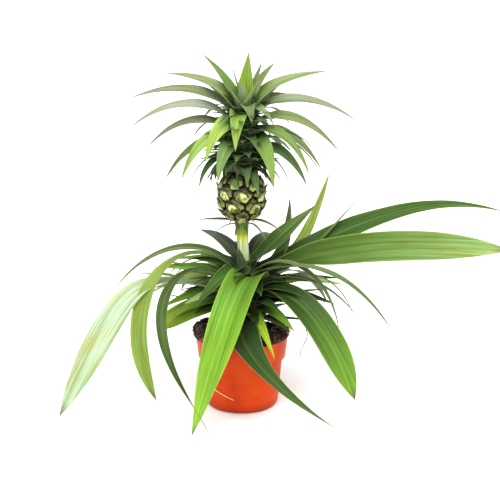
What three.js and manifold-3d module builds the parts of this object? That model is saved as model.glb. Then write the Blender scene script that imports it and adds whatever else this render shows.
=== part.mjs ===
// A pineapple plant in a moulded nursery pot, in millimetres, +Z up.
// The origin is the centre of the pot's underside. A rosette of strap leaves rises from a short
// thick stem in the soil. The stem carries a small fruit, and the fruit carries a leafy crown.
import * as THREE from "three";
import { mergeVertices } from "three/addons/utils/BufferGeometryUtils.js";
import Module from "manifold-3d";

const wasm = await Module();
wasm.setup();

// ---------------------------------------------------------------- driving dimensions
const GAP = 0.3; // clearance between two pieces that rest on each other

const POT = {
  height: 94,
  rimRadius: 60, // outside, at the lip
  rimTaper: 3.4, // how much narrower the rim band is at its foot
  rimBand: 29, // height of the rim band
  shoulder: 3.8, // how far the rim band stands out over the body
  bodyTaper: 5.3, // how much narrower the body is near the floor
  cornerRadius: 7, // between body and underside
  wall: 1.6,
  recess: 2.6, // height of the drainage channel under the pot
  footRing: 4, // width of the ring it stands on
  padRadius: 13, // flat pad in the middle of the underside
  drainHoles: 6,
  drainRadius: 4,
  segments: 44,
};

const SOIL = {
  edgeDrop: 1.5, // how far the soil at the wall lies below the lip
  moundHeight: 13, // how far the middle rises above the lip
  lump: 1.6, // height of the lumps on top
  spill: 4.5, // how far the root mat bulges over the lip on the -X side
  // Rings of the mound: share of the radius, share of the mound's height, height of the root mat.
  crown: [[0.83, 0.23, 13], [0.66, 0.55, 7], [0.47, 0.85, 0], [0.29, 1, 0], [0.1, 1, 0]],
  segments: 40,
};

const STEM = {
  buried: 54, // how far the stock reaches down from the pot's lip
  stockRadius: 15.5,
  stockHeight: 56, // from the lip to where the stock begins to narrow
  neckHeight: 98, // from the lip to where the flower stalk begins
  stalkRadius: 6.8,
  stalkLength: 53,
  offset: 5, // the stock stands this far from the pot's axis, on the +X side
  segments: 18,
};

const FRUIT = {
  height: 64,
  radius: 30.5,
  eyesPerTurn: 8, // fruitlets round the fruit
  eyeRows: 6,
  eyeRelief: 2.4, // how far each fruitlet stands proud
  segments: 48,
  rows: 24,
};

const CROWN = {
  height: 82, // length of the crown's own short stem
  footRadius: 17,
  tipRadius: 5,
  lean: 4, // its tip lies this far towards +X
  segments: 14,
};

const BLADE = {
  thickness: 1.3,
  tipThickness: 0.7,
  tipWidth: 0.9,
  clearance: 0.45, // between two blades that cross or lie on each other
  sink: 2.5, // how far a blade's root runs into the stem before it is trimmed
  channel: 0.32, // rise of the margins, as a share of the half width
};

// One row for each leaf, in degrees and millimetres.
// turn: the direction it leaves in, 0 is +X and 90 is +Y. up: height of its root above the pot's lip,
// or above the foot of the crown. rise and fall: its slope at the root and at the tip. bend: the share of
// its length where it arches over. crisp: how sharply it arches. sweep: how far it veers round on the
// way, over 0 to its left. late: over 1 it veers late, under 1 early. roll: how far the blade turns
// over to face its right. belly: the share of its length where it is widest. twist: the share of its
// length by which it has turned over. taper: 1 narrows evenly to the tip, over 1 stays wide for longer.
const LEAF_COLUMNS = [
  "name", "turn", "up", "length", "rise", "fall", "bend", "crisp", "sweep", "late", "width", "roll",
  "belly", "twist", "taper",
];

const ROSETTE_LEAVES = [
  ["leaf_front_long", -48, 58, 258, 74, -66, 0.16, 2.2, -88, 0.2, 45, -10, 0.42, 0.4, 1.8],
  ["leaf_left_broad", -165, 57, 322, 14, -62, 0.385, 6, 0, 1, 33, -70, 0.66, 0.6, 2.0],
  ["leaf_left_arch", 172, 84, 200, 46, -56, 0.7, 1.4, 0, 1, 15, -20, 0.4, 0.4, 1.4],
  ["leaf_left_strap", -158, 74, 318, 24, -62, 0.295, 3, 212, 1.6, 14, 0, 0.4, 0.4, 1.65],
  ["leaf_left_hanging", -160, 78, 302, 52, -113, 0.415, 1.8, 0, 1, 22, -60, 0.75, 0.62, 1.8],
  ["leaf_left_low", -165, 37, 112, 25, -34, 0.6, 1.2, 0, 1, 27, -50, 0.5, 0.4, 4],
  ["leaf_left_level", 178, 46, 172, 30, -6, 0.8, 1.5, 0, 1, 11, 0, 0.3, 0.4, 1.2],
  ["leaf_left_back", 165, 61, 112, 28, 4, 0.8, 1.5, 0, 1, 14, 0, 0.4, 0.4, 1.4],
  ["leaf_left_stub", -125, 88, 106, 10, -30, 0.4, 1.5, 0, 1, 26, 0, 0.2, 0.4, 1.3],
  ["leaf_back_curl", 165, 88, 76, 72, 10, 0.7, 2, 0, 1, 22, -30, 0.3, 0.4, 1.6],
  ["leaf_right_spear", 15, 88, 118, 48, 38, 0.5, 1, 0, 1, 26, 30, 0.45, 0.4, 1.3],
  ["leaf_back_spear", 30, 74, 130, 12, 95, 0.45, 2, 0, 1, 17, 0, 0.5, 0.4, 1.3],
  ["leaf_back_fold", 29, 68, 188, 16, 72, 0.4, 2.5, 0, 1, 22, 0, 0.55, 0.4, 1.3],
  ["leaf_back_thin", 15, 70, 190, 16, 50, 0.4, 2, 0, 1, 11, 0, 0.4, 0.4, 1.2],
  ["leaf_right_upper", 15, 82, 372, 21, -18, 0.85, 4, 0, 1, 27, 50, 0.4, 0.4, 1],
  ["leaf_right_lower", -8, 74, 330, 29, -3, 0.4, 1.6, 0, 1, 38, 72, 0.56, 0.4, 2.6],
  ["leaf_right_arch", -27, 81, 182, 38, -84, 0.6, 1.8, 0, 1, 14, 0, 0.35, 0.4, 1.2],
  ["leaf_right_drop", -31, 80, 226, 22, -54, 0.75, 2.2, 0, 1, 17, 0, 0.4, 0.4, 1.2],
  ["leaf_right_front", -35, 58, 211, 22, -66, 0.35, 1.6, 0, 1, 40, 26, 0.62, 0.4, 2.5],
  ["leaf_front_low", -108, 26, 240, 8, -34, 0.16, 2, 118, 0.9, 40, 0, 0.25, 0.4, 0.9],
  ["leaf_front_short", -74, 32, 95, 20, -52, 0.4, 1.5, 20, 1, 19, 0, 0.25, 0.4, 1.1],
  ["leaf_right_short", 0, 38, 104, 26, 2, 0.6, 1.5, 0, 1, 14, 0, 0.4, 0.4, 1.65],
  ["leaf_back_low_a", 118, 44, 220, 40, -50, 0.6, 1.5, 0, 1, 24, 0, 0.4, 0.4, 1.65],
  ["leaf_back_low_b", 88, 54, 250, 40, -52, 0.6, 1.5, 6, 1, 26, 0, 0.4, 0.4, 1.65],
  ["leaf_back_low_c", 55, 40, 225, 36, -52, 0.6, 1.5, 0, 1, 24, 0, 0.4, 0.4, 1.65],
  ["leaf_back_mid", 155, 84, 122, 36, -46, 0.6, 1.5, 0, 1, 22, 0, 0.4, 0.4, 1.65],
];

const CROWN_LEAVES = [
  ["crown_top", 40, 80, 66, 84, 88, 0.5, 1, 0, 1, 21, 0, 0.2, 0.4, 1.25],
  ["crown_up_left", 172, 70, 90, 74, 42, 0.6, 2, 0, 1, 19, -30, 0.3, 0.4, 1.25],
  ["crown_up_right", 10, 72, 72, 82, 44, 0.7, 1.5, 0, 1, 22, 30, 0.3, 0.4, 1.25],
  ["crown_up_back", 55, 68, 74, 78, 55, 0.5, 1, 0, 1, 14, 0, 0.3, 0.4, 1.25],
  ["crown_l1", 174, 69, 118, 70, 2, 0.4, 1.8, 0, 1, 16, -40, 0.3, 0.4, 1.25],
  ["crown_l2", 160, 66, 90, 60, -4, 0.5, 1.5, 0, 1, 13, -40, 0.3, 0.4, 1.25],
  ["crown_l3", 178, 60, 154, 58, -22, 0.55, 1.6, 0, 1, 16, -42, 0.32, 0.4, 1.25],
  ["crown_l4", -176, 54, 152, 48, -40, 0.65, 1.6, 0, 1, 15, -42, 0.32, 0.4, 1.25],
  ["crown_l5", 176, 45, 132, 36, -50, 0.6, 1.8, 0, 1, 14, -42, 0.32, 0.4, 1.25],
  ["crown_l7", -168, 34, 110, 22, -62, 0.6, 1.5, 0, 1, 15, -30, 0.35, 0.4, 1.25],
  ["crown_fl1", -152, 40, 104, 34, -70, 0.45, 1.5, 0, 1, 21, -45, 0.2, 0.4, 1.05],
  ["crown_fl2", -140, 57, 80, 34, -74, 0.35, 1.6, 0, 1, 24, -45, 0.2, 0.4, 1.05],
  ["crown_fl3", -124, 32, 72, 40, -78, 0.3, 1.6, 0, 1, 25, -20, 0.2, 0.4, 1.05],
  ["crown_f1", -104, 66, 66, 50, -84, 0.3, 1.6, 0, 1, 25, 0, 0.2, 0.4, 1.05],
  ["crown_f2", -78, 74, 50, 50, -55, 0.5, 1.6, 0, 1, 22, 0, 0.2, 0.4, 1.05],
  ["crown_fr1", -50, 37, 86, 34, -82, 0.3, 1.6, 0, 1, 27, 20, 0.2, 0.4, 1.05],
  ["crown_fr2", -30, 78, 50, 30, -60, 0.4, 1.6, 0, 1, 13, 30, 0.2, 0.4, 1.05],
  ["crown_fr3", -28, 43, 112, 38, -70, 0.5, 1.5, 0, 1, 18, 35, 0.2, 0.4, 1.05],
  ["crown_r1", 12, 74, 120, 58, 4, 0.4, 1.8, 0, 1, 16, 40, 0.3, 0.4, 1.25],
  ["crown_r2", 20, 72, 96, 48, -26, 0.5, 1.6, 0, 1, 14, 40, 0.3, 0.4, 1.25],
  ["crown_r3", 2, 66, 150, 40, -36, 0.6, 1.6, 0, 1, 16, 42, 0.32, 0.4, 1.25],
  ["crown_r4", -6, 52, 132, 42, -52, 0.5, 1.6, 0, 1, 16, 42, 0.32, 0.4, 1.25],
  ["crown_r6", -12, 46, 112, 26, -60, 0.5, 1.6, 0, 1, 14, 40, 0.32, 0.4, 1.25],
  ["crown_r7", -18, 28, 96, 20, -66, 0.5, 1.6, 0, 1, 17, 30, 0.35, 0.4, 1.25],
  ["crown_b1", 120, 50, 112, 50, -36, 0.6, 1.6, 0, 1, 14, 0, 0.35, 0.4, 1.65],
  ["crown_b2", 85, 38, 108, 42, -50, 0.6, 1.6, 0, 1, 14, 0, 0.35, 0.4, 1.65],
  ["crown_b3", 52, 28, 98, 36, -58, 0.6, 1.6, 0, 1, 14, 0, 0.35, 0.4, 1.65],
];

const FINISH = {
  pot: { color: 0xd2501f, roughness: 0.42, metalness: 0 },
  soil: { color: 0x2a1710, roughness: 0.97, metalness: 0 },
  stem: { color: 0x5c6b34, roughness: 0.75, metalness: 0 },
  stalk: { color: 0x9aa845, roughness: 0.6, metalness: 0 },
  fruit: { color: 0x8f8a3c, roughness: 0.6, metalness: 0 },
  leaf: { color: 0x4f8a2c, roughness: 0.5, metalness: 0 },
  crownLeaf: { color: 0x5f9636, roughness: 0.5, metalness: 0 },
};

// ---------------------------------------------------------------- small helpers
const radians = (degrees) => (degrees * Math.PI) / 180;
const mix = (a, b, share) => a + (b - a) * share;
const smooth = (edge0, edge1, x) => THREE.MathUtils.smoothstep(x, edge0, edge1);

// A manifold-3d solid from a three.js geometry.
function solid(geometry) {
  const bare = geometry.clone();
  bare.deleteAttribute("normal");
  bare.deleteAttribute("uv");
  const welded = mergeVertices(bare, 1e-4);
  const mesh = new wasm.Mesh({
    numProp: 3,
    vertProperties: new Float32Array(welded.attributes.position.array),
    triVerts: new Uint32Array(welded.index.array),
  });
  mesh.merge();
  return new wasm.Manifold(mesh);
}

// The largest of the separate bodies in a solid.
function largestBody(shape) {
  const bodies = shape.decompose();
  return bodies.reduce((best, body) => (body.volume() > best.volume() ? body : best));
}

// A named three.js mesh from a manifold-3d solid.
function meshOf(name, shape, finish) {
  const raw = shape.getMesh();
  const geometry = new THREE.BufferGeometry();
  const positions = new Float32Array(raw.numVert * 3);
  for (let i = 0; i < raw.numVert; i += 1) {
    for (let k = 0; k < 3; k += 1) {
      positions[i * 3 + k] = raw.vertProperties[i * raw.numProp + k];
    }
  }
  geometry.setAttribute("position", new THREE.BufferAttribute(positions, 3));
  geometry.setIndex(new THREE.BufferAttribute(new Uint32Array(raw.triVerts), 1));
  geometry.computeVertexNormals();
  const mesh = new THREE.Mesh(geometry, new THREE.MeshStandardMaterial(finish));
  mesh.name = name;
  return mesh;
}

// A closed solid through rings of points. Every ring has the same number of points, and runs
// anticlockwise seen from the far end. Both ends are closed with a flat fan. The panels of columns
// from crossFrom on are split along the other diagonal, so that the two faces of a thin twisted sheet
// stay parallel.
function loft(rings, crossFrom = Infinity) {
  const count = rings[0].length;
  const points = rings.flat();
  const faces = [];
  for (let row = 0; row + 1 < rings.length; row += 1) {
    for (let i = 0; i < count; i += 1) {
      const a = row * count + i;
      const b = row * count + ((i + 1) % count);
      if (i < crossFrom) {
        faces.push(a, b, b + count);
        faces.push(a, b + count, a + count);
      } else {
        faces.push(a, b, a + count);
        faces.push(b, b + count, a + count);
      }
    }
  }
  const last = (rings.length - 1) * count;
  for (let i = 1; i + 1 < count; i += 1) {
    faces.push(0, i + 1, i);
    faces.push(last, last + i, last + i + 1);
  }
  const geometry = new THREE.BufferGeometry();
  const positions = new Float32Array(points.flatMap((point) => point.toArray()));
  geometry.setAttribute("position", new THREE.BufferAttribute(positions, 3));
  geometry.setIndex(faces);
  return solid(geometry);
}

// A solid turned about Z from a closed profile of [radius, height] corners. It starts and ends on
// the axis, and runs anticlockwise with the radius to the right.
function turned(profile, segments) {
  const outline = profile.map(([radius, height]) => new THREE.Vector2(radius, height));
  const geometry = new THREE.LatheGeometry(outline, segments);
  geometry.rotateX(Math.PI / 2);
  return solid(geometry);
}

// Corners along a quarter round from one [radius, height] corner to another, bulging outwards.
function quarterRound(from, to, steps) {
  const corners = [];
  for (let i = 0; i <= steps; i += 1) {
    const angle = (Math.PI / 2) * (i / steps);
    corners.push([mix(from[0], to[0], Math.sin(angle)), mix(to[1], from[1], Math.cos(angle))]);
  }
  return corners;
}

// ---------------------------------------------------------------- pot
const skirtRadius = POT.rimRadius - POT.rimTaper;
const shoulderRadius = skirtRadius - POT.shoulder;
const footRadius = shoulderRadius - POT.bodyTaper;
const lipInner = POT.rimRadius - POT.wall;
const skirtInner = skirtRadius - POT.wall;
const shoulderInner = shoulderRadius - POT.wall;
const footInner = footRadius - POT.wall;
const bandFoot = POT.height - POT.rimBand;
const potFloor = POT.recess + POT.wall;
const ringOuter = footRadius - POT.cornerRadius;
const ringInner = ringOuter - POT.footRing;

function potShell() {
  const lipRound = POT.wall / 2;
  const outside = [
    [0, 0],
    [POT.padRadius, 0],
    [POT.padRadius + 1, POT.recess],
    [ringInner - 1, POT.recess],
    [ringInner, 0],
    ...quarterRound([ringOuter, 0], [footRadius, POT.cornerRadius], 4),
    [shoulderRadius, bandFoot - POT.wall],
    [skirtRadius, bandFoot],
    [POT.rimRadius, POT.height - lipRound],
    [POT.rimRadius - lipRound, POT.height],
  ];
  const inside = [
    [lipInner, POT.height - lipRound],
    [skirtInner, bandFoot + POT.wall],
    [shoulderInner, bandFoot - POT.wall],
    ...quarterRound([ringOuter, potFloor], [footInner, POT.cornerRadius + POT.wall], 3).reverse(),
    [0, potFloor],
  ];
  let shell = turned([...outside, ...inside], POT.segments);
  const holeCircle = (POT.padRadius + ringInner) / 2;
  for (let i = 0; i < POT.drainHoles; i += 1) {
    const angle = (2 * Math.PI * i) / POT.drainHoles;
    const drill = new THREE.CylinderGeometry(POT.drainRadius, POT.drainRadius, 4 * potFloor, 14);
    drill.rotateX(Math.PI / 2);
    drill.translate(holeCircle * Math.cos(angle), holeCircle * Math.sin(angle), 0);
    shell = shell.subtract(solid(drill));
  }
  return shell;
}

// ---------------------------------------------------------------- soil
// How far the root mat hangs over the lip in a direction, 0 to 1: most at -X, less at +X.
function overhang(angle) {
  const left = smooth(0.55, 0.95, -Math.cos(angle));
  const right = smooth(0.7, 1, Math.cos(angle + 0.15));
  return Math.max(left, 0.75 * right);
}

// Lumps on the soil, a smooth wave in direction and radius.
function lumps(angle, radius) {
  const slow = Math.sin(3 * angle + radius * 0.13) * 0.6;
  const quick = Math.sin(7 * angle - radius * 0.31 + 1.3) * 0.4;
  return SOIL.lump * (slow + quick);
}

function soilBody() {
  const lip = POT.height;
  const edge = lip - SOIL.edgeDrop;
  const mound = SOIL.moundHeight;
  const rings = [];
  const wallCorners = [
    [ringOuter - 2, potFloor + GAP],
    [footInner - GAP, POT.cornerRadius + POT.wall + 1],
    [shoulderInner - GAP, bandFoot - POT.wall],
    [skirtInner - GAP, bandFoot + POT.wall + GAP],
  ];
  const ring = (corner) => {
    const points = [];
    for (let i = 0; i < SOIL.segments; i += 1) {
      const angle = (2 * Math.PI * i) / SOIL.segments;
      const [radius, height] = corner(angle);
      points.push(new THREE.Vector3(radius * Math.cos(angle), radius * Math.sin(angle), height));
    }
    return points;
  };
  for (const corner of wallCorners) {
    rings.push(ring(() => corner));
  }
  const lipRadius = lipInner - GAP - 0.4;
  rings.push(ring((angle) => [lipRadius, edge - 2 + 2 * overhang(angle)]));
  rings.push(ring((angle) => {
    const over = overhang(angle);
    return [lipRadius + over * SOIL.spill, edge + over * (SOIL.edgeDrop + GAP + 1) + 0.5];
  }));
  rings.push(ring((angle) => {
    const over = overhang(angle);
    const radius = lipRadius - 1 + over * (SOIL.spill + 2);
    return [radius, edge + 1.5 + over * 9 + lumps(angle, 56) * 0.5];
  }));
  for (const [share, rise, mat] of SOIL.crown) {
    const radius = lipRadius * share;
    rings.push(ring((angle) => [
      radius,
      edge + mound * rise + overhang(angle) * mat + lumps(angle, radius) * Math.min(1, 1.3 * share + 0.3),
    ]));
  }
  const lipRing = turned([
    [lipInner - GAP, lip - POT.rimBand / 2],
    [POT.rimRadius + GAP, lip - POT.rimBand / 2],
    [POT.rimRadius + GAP, lip + GAP],
    [lipInner - GAP, lip + GAP],
    [lipInner - GAP, lip - POT.rimBand / 2],
  ], POT.segments);
  return largestBody(loft(rings).subtract(lipRing));
}

// ---------------------------------------------------------------- stem, flower stalk, crown stem
// A round bar whose radius follows [height, radius, x, y] stations.
function roundBar(stations, segments, swell = 0) {
  const rings = stations.map(([height, radius, x = 0, y = 0], index) => {
    const points = [];
    const end = index === 0 ? -swell : swell;
    const lift = index === 0 || index === stations.length - 1 ? end : 0;
    for (let i = 0; i < segments; i += 1) {
      const angle = (2 * Math.PI * i) / segments;
      const reach = radius + swell;
      const across = x + reach * Math.cos(angle);
      const away = y + reach * Math.sin(angle);
      points.push(new THREE.Vector3(across, away, height + lift));
    }
    return points;
  });
  return loft(rings);
}

const lipHeight = POT.height;
const stockFoot = lipHeight - STEM.buried;
const stockTop = lipHeight + STEM.stockHeight;
const neck = lipHeight + STEM.neckHeight;
const fruitBase = neck + STEM.stalkLength;
const crownFoot = fruitBase + FRUIT.height + GAP;

const stockStations = [
  [stockFoot, STEM.stockRadius * 0.55, STEM.offset],
  [mix(stockFoot, lipHeight, 0.25), STEM.stockRadius * 0.9, STEM.offset],
  [lipHeight, STEM.stockRadius, STEM.offset],
  [stockTop, STEM.stockRadius, STEM.offset],
  [mix(stockTop, neck, 0.6), STEM.stockRadius * 0.72, STEM.offset * 0.8],
  [neck, STEM.stalkRadius + 1, STEM.offset * 0.5],
];
const stalkStations = [
  [neck + GAP, STEM.stalkRadius, STEM.offset * 0.5],
  [mix(neck, fruitBase, 0.55), STEM.stalkRadius * 0.94, STEM.offset * 0.2],
  [fruitBase - GAP, STEM.stalkRadius * 1.25, 0],
];
const crownStations = [
  [crownFoot, CROWN.footRadius, 0],
  [crownFoot + CROWN.height * 0.35, CROWN.footRadius * 0.8, CROWN.lean * 0.35],
  [crownFoot + CROWN.height * 0.75, mix(CROWN.footRadius, CROWN.tipRadius, 0.6), CROWN.lean * 0.75],
  [crownFoot + CROWN.height, CROWN.tipRadius, CROWN.lean],
];

// Radius and middle of a bar of stations at a height.
function barAt(stations, height) {
  const last = stations.length - 1;
  const inside = Math.min(Math.max(height, stations[0][0]), stations[last][0]);
  let k = 0;
  while (k < last - 1 && stations[k + 1][0] < inside) k += 1;
  const share = (inside - stations[k][0]) / (stations[k + 1][0] - stations[k][0]);
  const blend = (column) => mix(stations[k][column] ?? 0, stations[k + 1][column] ?? 0, share);
  return { radius: blend(1), x: blend(2), y: blend(3) };
}

// ---------------------------------------------------------------- fruit
// The fruitlets stand in two sets of crossing spirals, as the grid of bumps on a net.
function fruitBody() {
  const rings = [];
  const half = FRUIT.height / 2;
  const middle = fruitBase + half;
  for (let row = 0; row <= FRUIT.rows; row += 1) {
    const share = row / FRUIT.rows;
    const climb = mix(-1, 1, share);
    const barrel = Math.sqrt(Math.max(0.12, 1 - Math.abs(climb) ** 2.6 * 0.93));
    const points = [];
    for (let i = 0; i < FRUIT.segments; i += 1) {
      const angle = (2 * Math.PI * i) / FRUIT.segments;
      const upward = share * FRUIT.eyeRows * Math.PI;
      const around = (angle * FRUIT.eyesPerTurn) / 2;
      const net = Math.abs(Math.sin(around + upward / 2 + 0.4) * Math.sin(around - upward / 2 + 0.4));
      const relief = FRUIT.eyeRelief * (net ** 0.6 - 0.5) * smooth(0, 0.15, 1 - Math.abs(climb));
      const radius = FRUIT.radius * barrel + relief;
      const level = middle + half * climb;
      points.push(new THREE.Vector3(radius * Math.cos(angle), radius * Math.sin(angle), level));
    }
    rings.push(points);
  }
  return loft(rings);
}

// ---------------------------------------------------------------- leaves
const STATIONS = 11;
const STEPS_BETWEEN = 5;

// A leaf with named values, from its row in the table.
const leafOf = (row) => Object.fromEntries(LEAF_COLUMNS.map((column, i) => [column, row[i]]));

// Share of a blade's full width at s, from 0 at the root to 1 at the tip.
function bladeWidth(leaf, s) {
  const rootShare = 0.62;
  if (s < leaf.belly) {
    return mix(rootShare, 1, Math.sin((Math.PI / 2) * (s / leaf.belly)));
  }
  const beyond = (s - leaf.belly) / (1 - leaf.belly);
  return Math.max(0, 1 - beyond ** leaf.taper);
}

// Share of the turn from rise to fall that a blade has made at s.
function archShare(leaf, s) {
  const halfway = leaf.bend ** leaf.crisp;
  return (s ** leaf.crisp * (1 + halfway)) / (s ** leaf.crisp + halfway);
}

// The frame of each station along a blade: its middle, the way across it and the way its face looks.
function bladeFrames(leaf, bar, foot) {
  const height = foot + leaf.up;
  const place = barAt(bar, height);
  const outward = new THREE.Vector3(Math.cos(radians(leaf.turn)), Math.sin(radians(leaf.turn)), 0);
  const point = new THREE.Vector3(place.x, place.y, height);
  point.addScaledVector(outward, place.radius - BLADE.sink);
  const frames = [];
  const steps = STATIONS * STEPS_BETWEEN;
  for (let step = 0; step <= steps; step += 1) {
    const s = step / steps;
    const slope = radians(mix(leaf.rise, leaf.fall, archShare(leaf, s)));
    const heading = radians(leaf.turn + leaf.sweep * s ** leaf.late);
    const along = new THREE.Vector3(
      Math.cos(slope) * Math.cos(heading),
      Math.cos(slope) * Math.sin(heading),
      Math.sin(slope),
    );
    if (step % STEPS_BETWEEN === 0) {
      const across = new THREE.Vector3(-Math.sin(heading), Math.cos(heading), 0);
      across.applyAxisAngle(along, radians(leaf.roll * smooth(leaf.twist - 0.35, leaf.twist, s)));
      const face = along.clone().cross(across).normalize();
      frames.push({ s, middle: point.clone(), across, face });
    }
    point.addScaledVector(along, leaf.length / steps);
  }
  return frames;
}

// A blade's solid. swell grows it on every side, to cut its neighbours with a clearance.
function bladeSolid(leaf, bar, foot, swell = 0) {
  const rings = bladeFrames(leaf, bar, foot).map(({ s, middle, across, face }) => {
    const half = Math.max((leaf.width * bladeWidth(leaf, s)) / 2, BLADE.tipWidth / 2) + swell;
    const thick = mix(BLADE.thickness, BLADE.tipThickness, s) / 2 + swell;
    const rim = half * BLADE.channel * mix(1.5, 0.6, smooth(0, 0.6, s));
    const at = (sideways, lift) => middle.clone()
      .addScaledVector(across, sideways)
      .addScaledVector(face, lift);
    return [
      at(-half, rim - thick * 0.6),
      at(0, -thick),
      at(half, rim - thick * 0.6),
      at(half, rim + thick * 0.6),
      at(0, thick),
      at(-half, rim + thick * 0.6),
    ];
  });
  return loft(rings, 3);
}

// All blades of one bar, lowest first. Each is trimmed clear of the bar and of those below it.
function bladeGroup(leaves, bar, foot, obstacles, finish) {
  const group = new THREE.Group();
  const placed = [...obstacles];
  const lowestFirst = leaves.map(leafOf).sort((a, b) => a.up - b.up);
  for (const leaf of lowestFirst) {
    let blade = bladeSolid(leaf, bar, foot);
    for (const other of placed) {
      blade = blade.subtract(other);
    }
    group.add(meshOf(leaf.name, largestBody(blade), finish));
    placed.push(bladeSolid(leaf, bar, foot, BLADE.clearance));
  }
  return group;
}

// ---------------------------------------------------------------- assembly
const stockSegments = STEM.segments;
const stockCutter = roundBar(stockStations, stockSegments, GAP);
const stalkCutter = roundBar(stalkStations, stockSegments, GAP);
const crownCutter = roundBar(crownStations, CROWN.segments, GAP);
const fruit = fruitBody();
const fruitCutter = roundBar([
  [fruitBase, FRUIT.radius * 0.6],
  [fruitBase + FRUIT.height * 0.2, FRUIT.radius + FRUIT.eyeRelief],
  [fruitBase + FRUIT.height * 0.8, FRUIT.radius + FRUIT.eyeRelief],
  [fruitBase + FRUIT.height, FRUIT.radius * 0.6],
], 24, GAP);

const plant = new THREE.Group();
plant.add(meshOf("pot", potShell(), FINISH.pot));
plant.add(meshOf("soil", largestBody(soilBody().subtract(stockCutter)), FINISH.soil));
plant.add(meshOf("stem", roundBar(stockStations, stockSegments), FINISH.stem));
plant.add(meshOf("flower_stalk", roundBar(stalkStations, stockSegments), FINISH.stalk));
plant.add(meshOf("fruit", fruit, FINISH.fruit));
plant.add(meshOf("crown_stem", roundBar(crownStations, CROWN.segments), FINISH.stem));
plant.add(bladeGroup(ROSETTE_LEAVES, stockStations, lipHeight, [stockCutter, stalkCutter], FINISH.leaf));
plant.add(bladeGroup(CROWN_LEAVES, crownStations, crownFoot, [crownCutter, fruitCutter], FINISH.crownLeaf));

export default plant;
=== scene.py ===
import math

import bpy
import numpy as np
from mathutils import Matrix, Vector, noise


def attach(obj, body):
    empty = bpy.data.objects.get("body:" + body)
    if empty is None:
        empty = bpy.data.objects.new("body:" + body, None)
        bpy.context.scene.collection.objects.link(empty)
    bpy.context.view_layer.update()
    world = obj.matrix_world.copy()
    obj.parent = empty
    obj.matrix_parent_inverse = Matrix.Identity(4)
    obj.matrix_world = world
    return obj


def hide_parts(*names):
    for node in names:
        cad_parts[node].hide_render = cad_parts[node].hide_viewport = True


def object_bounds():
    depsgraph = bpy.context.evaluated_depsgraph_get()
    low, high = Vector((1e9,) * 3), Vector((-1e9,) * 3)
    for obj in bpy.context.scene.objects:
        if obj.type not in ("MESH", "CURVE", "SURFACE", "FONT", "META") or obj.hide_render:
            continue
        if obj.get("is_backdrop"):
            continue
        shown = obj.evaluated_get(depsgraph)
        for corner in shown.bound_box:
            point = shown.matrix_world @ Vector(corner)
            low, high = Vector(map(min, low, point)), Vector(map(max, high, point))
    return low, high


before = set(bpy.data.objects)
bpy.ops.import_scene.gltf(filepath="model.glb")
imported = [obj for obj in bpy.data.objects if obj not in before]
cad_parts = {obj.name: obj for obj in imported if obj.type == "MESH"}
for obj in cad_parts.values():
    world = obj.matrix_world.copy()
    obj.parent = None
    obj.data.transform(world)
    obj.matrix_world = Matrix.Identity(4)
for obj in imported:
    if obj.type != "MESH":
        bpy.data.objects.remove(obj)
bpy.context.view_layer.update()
mm = 0.001
dice = np.random.default_rng(7)


def mix(a, b, t):
    return a + (b - a) * t


def smooth(low, high, x):
    t = np.clip((x - low) / (high - low), 0, 1)
    return t * t * (3 - 2 * t)


def hexColor(code):
    # sRGB hex to the linear numbers that shaders use
    parts = [int(code[i : i + 2], 16) / 255 for i in (1, 3, 5)]
    return tuple(c / 12.92 if c <= 0.04045 else ((c + 0.055) / 1.055) ** 2.4 for c in parts) + (1,)


def addMaterial(name):
    material = bpy.data.materials.new(name)
    material.use_nodes = True
    tree = material.node_tree
    return material, tree, tree.nodes["Principled BSDF"]


def addNode(tree, kind, settings=None, links=None):
    # settings go to the node, its ramp or its sockets, links are socket name to output socket
    node = tree.nodes.new("ShaderNode" + kind)
    for key, value in (settings or {}).items():
        if key == "stops":
            while len(node.color_ramp.elements) < len(value):
                node.color_ramp.elements.new(0.5)
            for element, (place, code) in zip(node.color_ramp.elements, value):
                element.position, element.color = place, hexColor(code)
        elif isinstance(key, str) and hasattr(node, key):
            setattr(node, key, value)
        else:
            node.inputs[key].default_value = hexColor(value) if isinstance(value, str) else value
    for key, output in (links or {}).items():
        tree.links.new(output, node.inputs[key])
    return node


blend = {"data_type": "RGBA"}  # Mix node of two colours
multiply = {"data_type": "RGBA", "blend_type": "MULTIPLY"}


def finishSurface(tree, shader, color, roughness, relief):
    # roughness and relief are each the settings and the pattern that they follow
    tree.links.new(color, shader.inputs["Base Color"])
    rough = addNode(tree, "MapRange", roughness[0], {"Value": roughness[1]})
    tree.links.new(rough.outputs["Result"], shader.inputs["Roughness"])
    bump = addNode(tree, "Bump", relief[0], {"Height": relief[1]})
    tree.links.new(bump.outputs["Normal"], shader.inputs["Normal"])


def addPiece(name, verts, faces, material, slotName, tags=None, replaces=()):
    mesh = bpy.data.meshes.new(name)
    mesh.from_pydata([tuple(v) for v in np.asarray(verts) * mm], [], faces)
    mesh.update()
    for tag, (kind, values) in (tags or {}).items():
        attribute = mesh.attributes.new(tag, kind, "POINT")
        field = {"FLOAT": "value", "FLOAT_VECTOR": "vector", "FLOAT_COLOR": "color"}[kind]
        attribute.data.foreach_set(field, np.asarray(values, np.float32).ravel())
    mesh.polygons.foreach_set("use_smooth", [True] * len(mesh.polygons))
    mesh.materials.append(material)
    piece = bpy.data.objects.new(name, mesh)
    bpy.context.scene.collection.objects.link(piece)
    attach(piece, "root")
    if replaces:
        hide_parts(*replaces)
    return piece


def around(count):
    return np.linspace(0, 2 * np.pi, count, endpoint=False)


def gridFaces(rows, columns):
    # quads of a grid of points, closed round each row
    faces = []
    for row in range(rows - 1):
        for i in range(columns):
            here, there = row * columns + i, row * columns + (i + 1) % columns
            faces.append((here, there, there + columns, here + columns))
    return faces


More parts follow.
